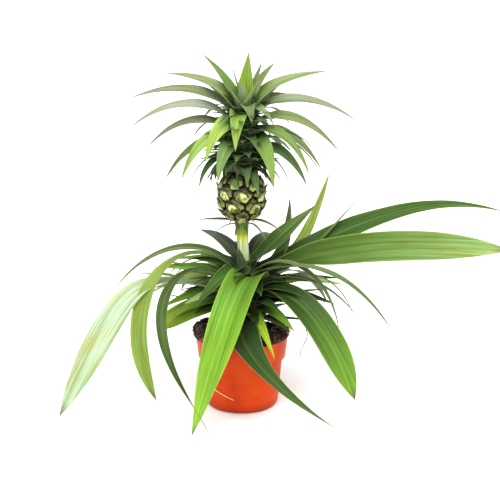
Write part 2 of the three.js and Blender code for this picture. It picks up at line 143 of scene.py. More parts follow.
def tubeFaces(rows, columns):
    # the same with both ends closed
    last = (rows - 1) * columns
    return gridFaces(rows, columns) + [tuple(range(columns - 1, -1, -1)), tuple(range(last, last + columns))]


def shifted(faces, start):
    return [tuple(i + start for i in face) for face in faces]


print("camera, floor and light")
view = {"place": (0.0106, -1.355, 0.556), "aim": (0.0106, 0, 0.206), "lens": 78.9}
lightRig = {
    "sky": "#ffffff",
    "skyStrength": 1.28,
    "sun": 2.9,
    "sunFrom": (-0.05, -0.85, 1.2),
    "sunAngle": 40,
    "floor": "#f8f8f8",
}

camera = bpy.data.objects.new("camera", bpy.data.cameras.new("camera"))
camera.data.lens = view["lens"]
camera.data.sensor_width = 36
camera.data.clip_end = 20
camera.location = view["place"]
camera.rotation_euler = (Vector(view["aim"]) - Vector(view["place"])).to_track_quat("-Z", "Y").to_euler()
bpy.context.scene.collection.objects.link(camera)
bpy.context.scene.camera = camera
bpy.context.scene.view_settings.view_transform = "Standard"
bpy.context.scene.view_settings.gamma = 0.86  # deepens the mid tones, white stays white

world = bpy.data.worlds.new("studio")
world.use_nodes = True
world.node_tree.nodes["Background"].inputs["Color"].default_value = hexColor(lightRig["sky"])
world.node_tree.nodes["Background"].inputs["Strength"].default_value = lightRig["skyStrength"]
bpy.context.scene.world = world

sun = bpy.data.lights.new("softSun", "SUN")
sun.energy = lightRig["sun"]
sun.angle = math.radians(lightRig["sunAngle"])
sunHolder = bpy.data.objects.new("softSun", sun)
sunHolder.rotation_euler = Vector(lightRig["sunFrom"]).to_track_quat("Z", "Y").to_euler()
bpy.context.scene.collection.objects.link(sunHolder)

floorMesh = bpy.data.meshes.new("floor")
floorMesh.from_pydata([(-6, -6, 0), (6, -6, 0), (6, 6, 0), (-6, 6, 0)], [], [(0, 1, 2, 3)])
floor = bpy.data.objects.new("floor", floorMesh)
bpy.context.scene.collection.objects.link(floor)
paper, tree, shader = addMaterial("matt_paper_sweep")
shader.inputs["Base Color"].default_value = hexColor(lightRig["floor"])
shader.inputs["Roughness"].default_value = 0.9
floorMesh.materials.append(paper)
floor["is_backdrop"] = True


# The stem, flower stalk and crown stem as stations of (height, radius, middle in x).
lip = 94
stock = [(40, 8.5, 5), (53.5, 13.95, 5), (94, 15.5, 5), (150, 15.5, 5), (175.2, 11.2, 4), (192, 7.8, 2.5)]
stalk = [(192.3, 6.8, 2.5), (221.2, 6.4, 1), (244.7, 8.5, 0)]
crownFoot = 309.3
crownBar = [(309.3, 17, 0), (338, 13.6, 1.4), (370.8, 9.8, 3), (391.3, 5, 4)]


def barAt(bar, height):
    heights = [station[0] for station in bar]
    return [float(np.interp(height, heights, [station[k] for station in bar])) for k in (1, 2)]


bladeLook = {
    "thickness": 1.1,  # at the root, thinning to the tip
    "channel": 0.32,  # rise of the margins, as a share of the half width
    "waver": 0.9,  # how far the margins wave
    "sheath": 20,  # how far the clasping base runs down the stem
    "joint": 14,  # from the root to where the base becomes blade
    "clasp": 0.55,  # how much wider the base is, as a share
    "depth": 0.72,  # how much darker the leaf is than its tints, under this light
    "dryTip": "#8f8a6d",
    "sheathTint": "#a9b486",
    "crownSheathTint": "#4c6b34",
}


def spineOf(leaf, bar, foot, steps):
    # middles, directions and turned cross directions along a blade, from its root to its tip
    turn, up, length, rise, fall, bend, crisp, sweep, late, width, roll, belly, twist, taper = leaf
    radius, x = barAt(bar, foot + up)
    s = np.linspace(0, 1, 281)
    half = bend**crisp
    share = s**crisp * (1 + half) / (s**crisp + half)
    slope = np.radians(mix(rise, fall, share))
    heading = np.radians(turn + sweep * s**late)
    along = np.stack([np.cos(slope) * np.cos(heading), np.cos(slope) * np.sin(heading), np.sin(slope)], 1)
    out = np.array([math.cos(math.radians(turn)), math.sin(math.radians(turn)), 0])
    root = np.array([x, 0, foot + up]) + out * (radius - 2.5)
    middle = root + np.vstack([[0, 0, 0], np.cumsum(along[:-1] + along[1:], 0) / 2 * length / 280])
    level = np.stack([-np.sin(heading), np.cos(heading), 0 * s], 1)
    lift = np.cross(along, level)
    angle = np.radians(roll) * smooth(twist - 0.35, twist, s)[:, None]
    across = level * np.cos(angle) + lift * np.sin(angle)
    take = np.round(np.linspace(0, 1, steps) * 280).astype(int)
    return s[take], middle[take], along[take], across[take], root, out, radius


def widthShare(s, belly, taper, rootShare):
    beyond = np.clip((s - belly) / (1 - belly), 0, 1)
    return np.where(
        s < belly, mix(rootShare, 1, np.sin(np.pi / 2 * np.clip(s / belly, 0, 1))), 1 - beyond**taper
    )


def makeBlade(
    leaf, bar, foot, tints, steps=54, columns=10, sheath=None, waver=1.0, rootShare=0.62, scurf=1.0
):
    # points, faces and tags of one closed blade with its clasping base
    leaf = (*leaf, 0.4, 1.4)[:14]
    turn, up, length, rise, fall, bend, crisp, sweep, late, width, roll, belly, twist, taper = leaf
    sheath = bladeLook["sheath"] if sheath is None else sheath
    s, middle, along, across, root, out, radius = spineOf(leaf, bar, foot, steps)
    joint = int(np.searchsorted(s * length, bladeLook["joint"]))
    start = np.array([root[0] + out[0] * 3.2, root[1] + out[1] * 3.2, root[2] - sheath])
    if sheath:
        # a vertical base on the stem, curving out into the blade
        t = np.linspace(0, 1, 8)[:-1, None]
        p3, p2 = middle[joint], middle[joint] - along[joint] * 9
        p1 = start + np.array([0, 0, sheath * 0.75])
        base = start * (1 - t) ** 3 + 3 * p1 * t * (1 - t) ** 2 + 3 * p2 * t**2 * (1 - t) + p3 * t**3
        middle = np.vstack([base, middle[joint:]])
        across = np.vstack([np.repeat(across[:1], 7, 0), across[joint:]])
        s = np.concatenate([np.linspace(-sheath / length, s[joint], 8)[:-1], s[joint:]])
        along = np.gradient(middle, axis=0)
        along /= np.linalg.norm(along, axis=1, keepdims=True)
    face = np.cross(along, across)
    face /= np.linalg.norm(face, axis=1, keepdims=True)
    seed = float(dice.uniform(0, 90))
    inside = np.clip(s, 0, 1)
    halfWidth = np.maximum(width * widthShare(inside, belly, taper, rootShare) / 2, 0.22)
    clasp = 1 - smooth(-4, 26, s * length)
    halfWidth = halfWidth * (1 + bladeLook["clasp"] * clasp * (sheath > 0))
    flat = bladeLook["channel"] * mix(1.5, 0.6, smooth(0, 0.6, inside))
    thick = mix(bladeLook["thickness"], 0.45, inside) * np.minimum(1, halfWidth / 1.5)
    u = np.cos(np.linspace(np.pi, 0, columns + 1))
    rings, place, side, edge = [], [], [], []
    for k in range(len(s)):
        w, bendRadius = halfWidth[k], max(radius + 1, 4)
        x = u * w
        opened = np.abs(u) ** 1.35 * w * flat[k]
        wrap = bendRadius * (1 - np.cos(np.clip(x / bendRadius, -1.5, 1.5)))
        lift = mix(opened, wrap, clasp[k] * (sheath > 0))
        sideways = mix(x, bendRadius * np.sin(np.clip(x / bendRadius, -1.5, 1.5)), clasp[k] * (sheath > 0))
        d = s[k] * length
        wave = [noise.noise((d * 0.028 + seed, 7.3 * np.sign(v) + seed, 0)) for v in (-1, 1)]
        swing = np.where(u < 0, wave[0], wave[1]) * np.abs(u) ** 2 * waver * bladeLook["waver"]
        lift = lift + swing * smooth(10, 60, d) * min(1, w / 6)
        body = thick[k] / 2 * np.sqrt(np.clip(1 - u**2 * 0.93, 0, 1))
        top = middle[k] + sideways[:, None] * across[k] + (lift + body)[:, None] * face[k]
        low = middle[k] + sideways[:, None] * across[k] + (lift - body)[:, None] * face[k]
        rings.append(np.vstack([low, top[::-1]]))
        place.append(
            np.stack([np.r_[x, x[::-1]], np.full(2 * columns + 2, d), np.full(2 * columns + 2, seed)], 1)
        )
        side.append(np.r_[np.full(columns + 1, scurf), np.zeros(columns + 1)])
        edge.append(np.r_[u, u[::-1]])
    count = 2 * columns + 2
    verts = np.vstack(rings)
    sheathTint = bladeLook["sheathTint"] if bar is stock else bladeLook["crownSheathTint"]
    low, middling, high = tints.split()
    stops = [(-1, sheathTint), (0.0, low), (0.42, middling), (0.93, high), (1.0, bladeLook["dryTip"])]
    where = np.repeat(np.where(s < 0, s * length / 12, s), count)
    linear = np.array([hexColor(code) for _, code in stops]) ** 1.15 * bladeLook["depth"]
    tint = np.stack([np.interp(where, [p for p, _ in stops], linear[:, c]) for c in range(4)], 1)
    tags = {
        "place": np.vstack(place), "tint": tint, "under": np.concatenate(side), "edge": np.concatenate(edge)
    }
    return verts, tubeFaces(len(s), count), tags


tagKinds = {"place": "FLOAT_VECTOR", "tint": "FLOAT_COLOR", "under": "FLOAT", "edge": "FLOAT"}


def addBlades(name, blades, material, slotName, replaces=()):
    # one piece from one or more blades
    verts, faces, tags, start = [], [], {tag: [] for tag in tagKinds}, 0
    for points, quads, values in blades:
        verts.append(points)
        faces += shifted(quads, start)
        start += len(points)
        for tag in tags:
            tags[tag].append(values[tag])
    joined = {tag: (tagKinds[tag], np.concatenate(tags[tag])) for tag in tags}
    return addPiece(name, np.vstack(verts), faces, material, slotName, joined, replaces)


# Waxy bromeliad leaf, grown with long parallel fibres: satin, with fine lengthwise streaks, a paler
# horny margin, and a grey scaly bloom that is thick on the underside.
leafLook = {
    "bloom": "#9aa392",
    "underBloom": 0.36,
    "topBloom": 0.05,
    "margin": "#b4c25e",
    "marginShare": 0.35,
    "roughness": (0.34, 0.52),
    "fibre": 1.3,  # mm between fibres, drawn wider than real so that they show
    "ridge": 0.22,
    # broad lengthwise bands of lighter and darker green
    "bands": [(0.34, "#b0bfa2"), (0.5, "#e8ece2"), (0.62, "#ffffff")],
}


def makeLeafMaterial(name, look):
    material, tree, shader = addMaterial(name)
    tagOutputs = (("place", "Vector"), ("tint", "Color"), ("under", "Fac"), ("edge", "Fac"))
    place, tint, under, edge = (
        addNode(tree, "Attribute", {"attribute_name": tag}).outputs[end] for tag, end in tagOutputs
    )
    patterns = []
    for stretch, detail, roughness in (
        ((1 / look["fibre"], 0.012, 1), 3, 0.6),  # fibres
        ((0.09, 0.02, 1), 2, 0.5),  # patches
        ((0.3, 0.006, 1), 2, 0.6),  # bands
        ((0.5, 0.22, 1), 4, 0.7),  # specks
    ):
        stretched = addNode(tree, "VectorMath", {"operation": "MULTIPLY", 1: stretch}, {0: place}).outputs[0]
        pattern = addNode(
            tree, "TexNoise", {"Scale": 1, "Detail": detail, "Roughness": roughness}, {"Vector": stretched}
        )
        patterns.append(pattern.outputs["Fac"])
    streaks, patches, belts, specks = patterns
    dark = addNode(
        tree, "ValToRGB", {"stops": [(0.3, "#6f8a4c"), (0.5, "#ccd6ae"), (0.68, "#ffffff")]}, {0: streaks}
    ).outputs[0]
    color = addNode(tree, "Mix", {**multiply, 0: 0.5}, {6: tint, 7: dark}).outputs[2]
    bands = addNode(tree, "ValToRGB", {"stops": look["bands"]}, {0: belts}).outputs[0]
    color = addNode(tree, "Mix", {**multiply, 0: 0.7}, {6: color, 7: bands}).outputs[2]
    yellower = addNode(tree, "Mix", {**multiply, 0: 1.0, 7: "#fff0c8"}, {6: color}).outputs[2]
    patchy = addNode(tree, "MapRange", {"From Min": 0.45, "From Max": 0.7}, {"Value": patches})
    color = addNode(tree, "Mix", blend, {0: patchy.outputs["Result"], 6: color, 7: yellower}).outputs[2]
    away = addNode(tree, "Math", {"operation": "ABSOLUTE"}, {0: edge}).outputs[0]
    # painted highlight: a faint stripe of the paler margin colour along the midrib, where the channel
    # catches the light
    midribHighlight = addNode(tree, "MapRange", {"From Min": 0.14, "From Max": 0.02, "To Max": 0.1}, {"Value": away})
    color = addNode(
        tree, "Mix", {**blend, 7: look["margin"]}, {0: midribHighlight.outputs["Result"], 6: color}
    ).outputs[2]
    rim = addNode(
        tree, "MapRange", {
            "From Min": 0.9, "From Max": 0.985, "To Max": look["marginShare"]
        }, {"Value": away}
    )
    color = addNode(
        tree, "Mix", {**blend, 7: look["margin"]}, {0: rim.outputs["Result"], 6: color}
    ).outputs[2]
    cover = addNode(
        tree, "MapRange", {"To Min": look["topBloom"], "To Max": look["underBloom"]}, {"Value": under}
    ).outputs["Result"]
    grain = addNode(tree, "MapRange", {"From Min": 0.3, "From Max": 0.7, "To Min": 0.45, "To Max": 1.25},
                    {"Value": specks}).outputs["Result"]
    cover = addNode(
        tree, "Math", {"operation": "MULTIPLY", "use_clamp": True}, {0: cover, 1: grain}
    ).outputs[0]
    color = addNode(tree, "Mix", {**blend, 7: look["bloom"]}, {0: cover, 6: color}).outputs[2]
    shader.inputs["IOR"].default_value = 1.42
    shader.inputs["Specular IOR Level"].default_value = 0.18
    gloss = {"To Min": look["roughness"][0], "To Max": look["roughness"][1]}
    ridges = {"Strength": look["ridge"], "Distance": 0.0006}
    finishSurface(tree, shader, color, (gloss, specks), (ridges, streaks))
    return material


rosetteLeaf = makeLeafMaterial("waxy_strap_leaf", leafLook)
crownLeaf = makeLeafMaterial("waxy_crown_leaf", dict(leafLook, underBloom=0.62, topBloom=0.16, fibre=1.2))

# name, turn, up, length, rise, fall, bend, crisp, sweep, late, width, roll, belly, twist, taper, and three
# tints from root to tip.
# turn: direction it leaves in, 0 is +X. up: root above the pot's lip or the crown's foot.
rosetteLeaves = [
    ("leaf_front_long", -48, 58, 258, 74, -66, 0.16, 2.2, -88, 0.2, 45, -10, 0.42, 0.4, 1.8,
     # painted sheen: the near-white tints of leaf_left_broad stand in for the glossy light that this leaf
     # reflects
     "#5c8428 #9acc46 #b0dc5e"),
    ("leaf_left_broad", -165, 57, 322, 14, -62, 0.385, 6, 0, 1, 33, -70, 0.66, 0.6, 2.0,
     "#a8c09c #e2efe2 #d8e8d0"),
    ("leaf_left_arch", 172, 84, 200, 46, -56, 0.7, 1.4, 0, 1, 15, -20, 0.4, 0.4, 1.4,
     "#5a7848 #869a68 #808f68"),
    ("leaf_left_strap", -158, 74, 318, 24, -62, 0.295, 3, 212, 1.6, 14, 0, 0.4, 0.4, 1.65,
     "#4c6838 #687f42 #4c6834"),
    ("leaf_left_hanging", -160, 78, 302, 52, -113, 0.415, 1.8, 0, 1, 22, -60, 0.75, 0.62, 1.8,
     "#45643a #b0c474 #b0c866"),
    ("leaf_left_low", -165, 37, 112, 25, -34, 0.6, 1.2, 0, 1, 27, -50, 0.5, 0.4, 4,
     "#4f7018 #80ac24 #b2cc44"),
    ("leaf_left_level", 178, 46, 172, 30, -6, 0.8, 1.5, 0, 1, 11, 0, 0.3, 0.4, 1.2,
     "#64884a #8cae58 #9ab064"),
    ("leaf_left_back", 165, 61, 112, 28, 4, 0.8, 1.5, 0, 1, 14, 0, 0.4, 0.4, 1.4, "#648050 #98ac80 #a8b892"),
    ("leaf_left_stub", -125, 88, 106, 10, -30, 0.4, 1.5, 0, 1, 26, 0, 0.2, 0.4, 1.3,
     "#55803a #5f8a3a #55783a"),
    ("leaf_back_curl", 165, 88, 76, 72, 10, 0.7, 2, 0, 1, 22, -30, 0.3, 0.4, 1.6, "#4a5648 #66716a #8f9498"),
    ("leaf_right_spear", 15, 88, 118, 48, 38, 0.5, 1, 0, 1, 26, 30, 0.45, 0.4, 1.3,
     "#486e34 #668c48 #a2b480"),
    ("leaf_back_spear", 30, 74, 130, 12, 95, 0.45, 2, 0, 1, 17, 0, 0.5, 0.4, 1.3, "#6f904c #8cae5c #9aae78"),
    ("leaf_back_fold", 29, 68, 188, 16, 72, 0.4, 2.5, 0, 1, 22, 0, 0.55, 0.4, 1.3,
     "#c8ec68 #ecff8c #d0e890"),
    ("leaf_back_thin", 15, 70, 190, 16, 50, 0.4, 2, 0, 1, 11, 0, 0.4, 0.4, 1.2, "#76984e #94b064 #a0b47c"),
    ("leaf_right_upper", 15, 82, 372, 21, -18, 0.85, 4, 0, 1, 27, 50, 0.4, 0.4, 1,
     "#42641c #5a8422 #7a9650"),
    ("leaf_right_lower", -8, 74, 330, 29, -3, 0.4, 1.6, 0, 1, 38, 72, 0.56, 0.4, 2.6,
     "#2c450f #76993e #bcd694"),
    ("leaf_right_arch", -27, 81, 182, 38, -84, 0.6, 1.8, 0, 1, 14, 0, 0.35, 0.4, 1.2,
     "#6a8650 #a3b286 #8ea078"),
    ("leaf_right_drop", -31, 80, 226, 22, -54, 0.75, 2.2, 0, 1, 17, 0, 0.4, 0.4, 1.2,
     "#6b8a4a #92a878 #7c9468"),
    ("leaf_right_front", -35, 58, 211, 22, -66, 0.35, 1.6, 0, 1, 40, 26, 0.62, 0.4, 2.5,
     "#2a4818 #587e2e #98c250"),
    ("leaf_front_low", -108, 26, 240, 8, -34, 0.16, 2, 118, 0.9, 40, 0, 0.25, 0.4, 0.9,
     "#2e5022 #4a6a2c #7a9a4d"),
    ("leaf_front_short", -74, 32, 95, 20, -52, 0.4, 1.5, 20, 1, 19, 0, 0.25, 0.4, 1.1,
     "#7fb02c #bddf34 #d2e25a"),
    ("leaf_right_short", 0, 38, 104, 26, 2, 0.6, 1.5, 0, 1, 14, 0, 0.4, 0.4, 1.65,
     "#3f6a24 #5f8a35 #6f953f"),
    ("leaf_back_low_a", 118, 44, 220, 40, -50, 0.6, 1.5, 0, 1, 24, 0, 0.4, 0.4, 1.65,
     "#3f6230 #587f3c #6b8e4a"),
    ("leaf_back_low_b", 88, 54, 250, 40, -52, 0.6, 1.5, 6, 1, 26, 0, 0.4, 0.4, 1.65,
     "#3f6230 #587f3c #6b8e4a"),
    ("leaf_back_low_c", 55, 40, 225, 36, -52, 0.6, 1.5, 0, 1, 24, 0, 0.4, 0.4, 1.65,
     "#3f6230 #587f3c #6b8e4a"),
    ("leaf_back_mid", 155, 84, 122, 36, -46, 0.6, 1.5, 0, 1, 22, 0, 0.4, 0.4, 1.65,
     "#56764c #7c9470 #90a47c"),
]
crownLeaves = [
    ("crown_top", 40, 80, 66, 84, 88, 0.5, 1, 0, 1, 21, 0, 0.2, 0.4, 1.25, "#96cc30 #bce03c #a4c050"),
    ("crown_up_left", 172, 70, 90, 74, 42, 0.6, 2, 0, 1, 19, -30, 0.3, 0.4, 1.25, "#78a838 #98bc52 #98a880"),
    ("crown_up_right", 10, 72, 72, 82, 44, 0.7, 1.5, 0, 1, 22, 30, 0.3, 0.4, 1.25,
     "#96b66e #b4c494 #98a080"),
    ("crown_up_back", 55, 68, 74, 78, 55, 0.5, 1, 0, 1, 14, 0, 0.3, 0.4, 1.25, "#7d9f4a #9db768 #9a9c86"),
    ("crown_l1", 174, 69, 118, 70, 2, 0.4, 1.8, 0, 1, 16, -40, 0.3, 0.4, 1.25, "#96b85e #bccaa0 #b2baa6"),
    ("crown_l2", 160, 66, 90, 60, -4, 0.5, 1.5, 0, 1, 13, -40, 0.3, 0.4, 1.25, "#9aa88a #b3bca6 #a9ada6"),
    ("crown_l3", 178, 60, 154, 58, -22, 0.55, 1.6, 0, 1, 16, -42, 0.32, 0.4, 1.25,
     "#93a878 #abb696 #b3b5ae"),
    ("crown_l4", -176, 54, 152, 48, -40, 0.65, 1.6, 0, 1, 15, -42, 0.32, 0.4, 1.25,
     "#98a888 #c7c9c3 #b9bab4"),
    ("crown_l5", 176, 45, 132, 36, -50, 0.6, 1.8, 0, 1, 14, -42, 0.32, 0.4, 1.25, "#80926a #a8ae91 #a2a398"),
    ("crown_l7", -168, 34, 110, 22, -62, 0.6, 1.5, 0, 1, 15, -30, 0.35, 0.4, 1.25,
     "#5f8338 #7a9a4a #7f8f5c"),
    ("crown_fl1", -152, 40, 104, 34, -70, 0.45, 1.5, 0, 1, 21, -45, 0.2, 0.4, 1.05,
     "#80ac44 #b8d46c #a0c05a"),
    ("crown_fl2", -140, 57, 80, 34, -74, 0.35, 1.6, 0, 1, 24, -45, 0.2, 0.4, 1.05,
     "#86b046 #d0ee84 #b0d062"),
    ("crown_fl3", -124, 32, 72, 40, -78, 0.3, 1.6, 0, 1, 25, -20, 0.2, 0.4, 1.05, "#5c8a3a #84a75a #9cb574"),
    ("crown_f1", -104, 66, 66, 50, -84, 0.3, 1.6, 0, 1, 25, 0, 0.2, 0.4, 1.05, "#9cc05c #b8de62 #b8d470"),
    ("crown_f2", -78, 74, 50, 50, -55, 0.5, 1.6, 0, 1, 22, 0, 0.2, 0.4, 1.05, "#7d9a64 #9aae84 #8aa060"),
    ("crown_fr1", -50, 37, 86, 34, -82, 0.3, 1.6, 0, 1, 27, 20, 0.2, 0.4, 1.05, "#66a028 #90b448 #a4c45c"),
    ("crown_fr2", -30, 78, 50, 30, -60, 0.4, 1.6, 0, 1, 13, 30, 0.2, 0.4, 1.05, "#9db07c #b9c6a0 #a3b184"),
    ("crown_fr3", -28, 43, 112, 38, -70, 0.5, 1.5, 0, 1, 18, 35, 0.2, 0.4, 1.05, "#6a9a34 #98b45e #8fa862"),
    ("crown_r1", 12, 74, 120, 58, 4, 0.4, 1.8, 0, 1, 16, 40, 0.3, 0.4, 1.25, "#94b64c #b2c486 #b8bca8"),
    ("crown_r2", 20, 72, 96, 48, -26, 0.5, 1.6, 0, 1, 14, 40, 0.3, 0.4, 1.25, "#7d9a56 #a0ae86 #a9aca0"),
    ("crown_r3", 2, 66, 150, 40, -36, 0.6, 1.6, 0, 1, 16, 42, 0.32, 0.4, 1.25, "#93a878 #b4bda6 #b9bab4"),
    ("crown_r4", -6, 52, 132, 42, -52, 0.5, 1.6, 0, 1, 16, 42, 0.32, 0.4, 1.25, "#8fa648 #a7b578 #a2a398"),
    ("crown_r6", -12, 46, 112, 26, -60, 0.5, 1.6, 0, 1, 14, 40, 0.32, 0.4, 1.25, "#6d8f44 #8aa062 #8f9478"),
    ("crown_r7", -18, 28, 96, 20, -66, 0.5, 1.6, 0, 1, 17, 30, 0.35, 0.4, 1.25, "#4f7a30 #6b9344 #7d8f58"),
    ("crown_b1", 120, 50, 112, 50, -36, 0.6, 1.6, 0, 1, 14, 0, 0.35, 0.4, 1.65, "#5f8338 #84a050 #8f9a6c"),
    ("crown_b2", 85, 38, 108, 42, -50, 0.6, 1.6, 0, 1, 14, 0, 0.35, 0.4, 1.65, "#5f8338 #84a050 #8f9a6c"),
    ("crown_b3", 52, 28, 98, 36, -58, 0.6, 1.6, 0, 1, 14, 0, 0.35, 0.4, 1.65, "#5f8338 #84a050 #8f9a6c"),
]

# Width at the root as a share of the full width, where it isn't the usual one.
rootShares = {
    "leaf_front_long": 0.9, "leaf_left_hanging": 0.3, "leaf_left_broad": 0.35, "leaf_left_stub": 0.8
}
# Blades that are fuller than the CAD's by this much, and those without the grey bloom.
wider = {"crown_top": 1.7, "leaf_back_spear": 1.45, "leaf_back_fold": 1.1, "leaf_front_low": 1.12}
withoutScurf = ("leaf_back_fold",)


def leafShape(row):
    return row[1:10] + (row[10] * wider.get(row[0], 1),) + row[11:15]


print("rosette leaves")
for row in rosetteLeaves:
    rootShare, scurf = rootShares.get(row[0], 0.62), 0 if row[0] in withoutScurf else 1
    blade = makeBlade(leafShape(row), stock, lip, row[15], 64, 12, rootShare=rootShare, scurf=scurf)
    addBlades("blade_" + row[0], [blade], rosetteLeaf, "leaf", [row[0]])

print("crown leaves")
for row in crownLeaves:
    blade = makeBlade(
        leafShape(row),
        crownBar,
        crownFoot,
        row[15],
        steps=40,
        columns=8,
        sheath=9,
        waver=0.5,
        rootShare=0.95,
        scurf=0.6,
    )
    addBlades("blade_" + row[0], [blade], crownLeaf, "crown_leaf", [row[0]])

# Small and hidden leaves that ride with the larger ones, same columns without a name.
darkTints = "#2c4a1c #3c6124 #4b7430"
greyTints = "#5b744a #8b9c76 #9aa88a"
freshTints = "#587f2a #8cbc42 #b2d25c"
paleTints = "#7a9650 #b4c88a #c8d6a8"
thinLeaves = [
    (170, 52, 125, 24, -2, 0.5, 1.5, 0, 1, 12, 0, 0.35, greyTints),
    (175, 48, 132, 26, 10, 0.5, 1.5, 0, 1, 9, 0, 0.35, greyTints),
    (-175, 34, 128, 12, 16, 0.5, 1.5, 0, 1, 5, 0, 0.35, darkTints),
    (35, 74, 172, 34, 10, 0.4, 1.5, 0, 1, 4, 0, 0.3, greyTints),
    (-20, 60, 196, 30, -88, 0.62, 3, 0, 1, 6, 0, 0.35, greyTints),
    (-10, 20, 78, 10, -4, 0.5, 1.5, 0, 1, 12, 0, 0.4, darkTints),
    (-18, 66, 166, 26, -52, 0.6, 2, 0, 1, 10, 0, 0.4, greyTints),
    (12, 52, 120, 30, -8, 0.5, 1.5, 0, 1, 16, 20, 0.4, darkTints),
    (150, 40, 105, 34, -24, 0.5, 1.5, 0, 1, 20, 0, 0.4, darkTints),
    (100, 70, 150, 50, -30, 0.6, 1.5, 0, 1, 20, 0, 0.4, darkTints),
    (70, 80, 140, 58, -28, 0.6, 1.5, 0, 1, 18, 0, 0.4, darkTints),
    (135, 62, 140, 44, -40, 0.6, 1.5, 0, 1, 22, 0, 0.4, darkTints),
    (40, 30, 150, 32, -40, 0.6, 1.5, 0, 1, 22, 0, 0.4, darkTints),
    (102, 26, 150, 28, -40, 0.6, 1.5, 0, 1, 24, 0, 0.4, darkTints),
    (168, 66, 118, 34, -10, 0.5, 1.5, 0, 1, 17, -30, 0.4, freshTints),
    (-178, 58, 112, 30, -16, 0.5, 1.5, 0, 1, 15, -30, 0.4, paleTints),
    (-170, 50, 104, 30, -30, 0.5, 1.5, 0, 1, 16, -35, 0.4, freshTints),
    (-162, 42, 92, 34, -34, 0.5, 1.5, 0, 1, 17, -35, 0.4, freshTints),
    (-150, 48, 82, 40, -20, 0.5, 1.5, 0, 1, 15, -30, 0.4, paleTints),
    (176, 70, 132, 26, -36, 0.5, 1.5, 0, 1, 13, -30, 0.35, paleTints),
    (158, 78, 96, 40, -14, 0.5, 1.5, 0, 1, 17, -20, 0.4, freshTints),
    (-14, 62, 122, 30, -10, 0.5, 1.5, 0, 1, 15, 30, 0.4, paleTints),
    (-22, 48, 96, 32, -34, 0.5, 1.5, 0, 1, 16, 30, 0.4, freshTints),
    (-40, 34, 74, 30, -40, 0.5, 1.5, 0, 1, 16, 25, 0.4, freshTints),
    (6, 44, 112, 26, -26, 0.5, 1.5, 0, 1, 15, 30, 0.4, darkTints),
    (24, 64, 118, 36, -4, 0.5, 1.5, 0, 1, 17, 20, 0.4, darkTints),
]
coreCount = 34
goldenTurn = 137.5  # from one leaf round the stem to the next
neckSheaths = {"count": 9, "length": (26, 46), "tints": "#7d9a52 #55783a #45682c"}
print("leaves in the core")
core = [makeBlade(row[:12], stock, lip, row[12], steps=40, columns=8) for row in thinLeaves]
for i in range(coreCount):
    turn = (i * goldenTurn + 40) % 360
    towardsCamera = max(0, -math.sin(math.radians(turn)))
    length = dice.uniform(62, 112) * (1 - 0.42 * towardsCamera)
    row = (
        turn,
        8 + 1.9 * i,
        length,
        dice.uniform(44, 66),
        dice.uniform(-44, -6),
        0.55,
        1.5,
        dice.uniform(-12, 12),
        1,
    )
    row += (dice.uniform(18, 26), 0, 0.4)
    core.append(makeBlade(row, stock, lip, darkTints, steps=30, columns=8, scurf=0.35))
for i in range(neckSheaths["count"]):
    # the youngest leaves, still upright round the foot of the flower stalk
    row = (
        i * goldenTurn + 200,
        74 + 1.5 * i,
        dice.uniform(*neckSheaths["length"]),
        82,
        dice.uniform(20, 62),
        0.6,
        1.5,
        0,
        1,
    )
    row += (dice.uniform(12, 17), 0, 0.25, 0.4, 1.2)
    core.append(makeBlade(row, stock, lip, neckSheaths["tints"], 24, 8, 20, 0.5, 1.0, 0.5))
addBlades("core_leaves", core, rosetteLeaf, "leaf")

deepTints = "#2f5a22 #3f7029 #5a8a35"
brownTints = "#2b3a22 #33402a #2c2a22"
palerTints = "#90b458 #b4cc80 #b8c494"
crownThin = [
    (150, 76, 62, 84, 70, 0.5, 1, 0, 1, 5, 0, 0.3, "#8fa46a #a9b69a #9aa0a8"),
    (178, 34, 100, 26, -66, 0.6, 1.6, 0, 1, 9, 0, 0.35, "#6f8f44 #8fa86a #8f9478"),
    (-176, 30, 112, 30, -70, 0.55, 1.6, 0, 1, 8, 0, 0.35, "#5f8338 #7a9a4a #7f8f5c"),
    (-160, 16, 66, 20, -78, 0.5, 1.6, 0, 1, 12, -20, 0.4, deepTints),
    (-8, 42, 110, 36, -58, 0.55, 1.6, 0, 1, 10, 0, 0.35, "#6f8f44 #9aac7a #8f9478"),
    (-14, 34, 118, 30, -64, 0.55, 1.6, 0, 1, 9, 0, 0.35, "#5f8338 #8aa062 #8f9478"),
    (-14, 20, 76, 12, -80, 0.55, 1.6, 0, 1, 6, 0, 0.35, brownTints),
    (-25, 12, 50, 20, -84, 0.5, 1.6, 0, 1, 6, 0, 0.35, brownTints),
    (-20, 20, 44, 26, -60, 0.5, 1.6, 0, 1, 6, 0, 0.35, brownTints),
    (-165, 8, 50, 25, -100, 0.5, 1.6, 0, 1, 7, 0, 0.35, brownTints),
    (-172, 20, 80, 14, -74, 0.55, 1.6, 0, 1, 7, 0, 0.35, brownTints),
    (-140, 66, 62, 78, 44, 0.6, 1.5, 0, 1, 19, -20, 0.25, palerTints),
    (-168, 62, 78, 74, 30, 0.6, 1.5, 0, 1, 17, -30, 0.25, palerTints),
    (-100, 70, 46, 84, 62, 0.6, 1.5, 0, 1, 20, 0, 0.2, palerTints),
    (-52, 68, 56, 80, 48, 0.6, 1.5, 0, 1, 19, 20, 0.25, palerTints),
    (-22, 62, 74, 74, 26, 0.6, 1.5, 0, 1, 17, 30, 0.25, palerTints),
    (150, 60, 84, 70, 20, 0.6, 1.5, 0, 1, 15, -30, 0.3, palerTints),
    (28, 60, 84, 70, 20, 0.6, 1.5, 0, 1, 15, 30, 0.3, palerTints),
]
crownBacks = {"count": 13, "from": 22, "to": 158, "tints": "#5f8338 #84a050 #8f9a6c"}
crownSkirt = {"count": 27, "tints": "#2c4a1a #456f2a #638f3a"}
crownScales = {"count": 84, "length": (26, 50), "width": (13, 19)}
print("small crown leaves")
small = [makeBlade(row[:12], crownBar, crownFoot, row[12], 30, 6, 6, 0.4, scurf=0.6) for row in crownThin]
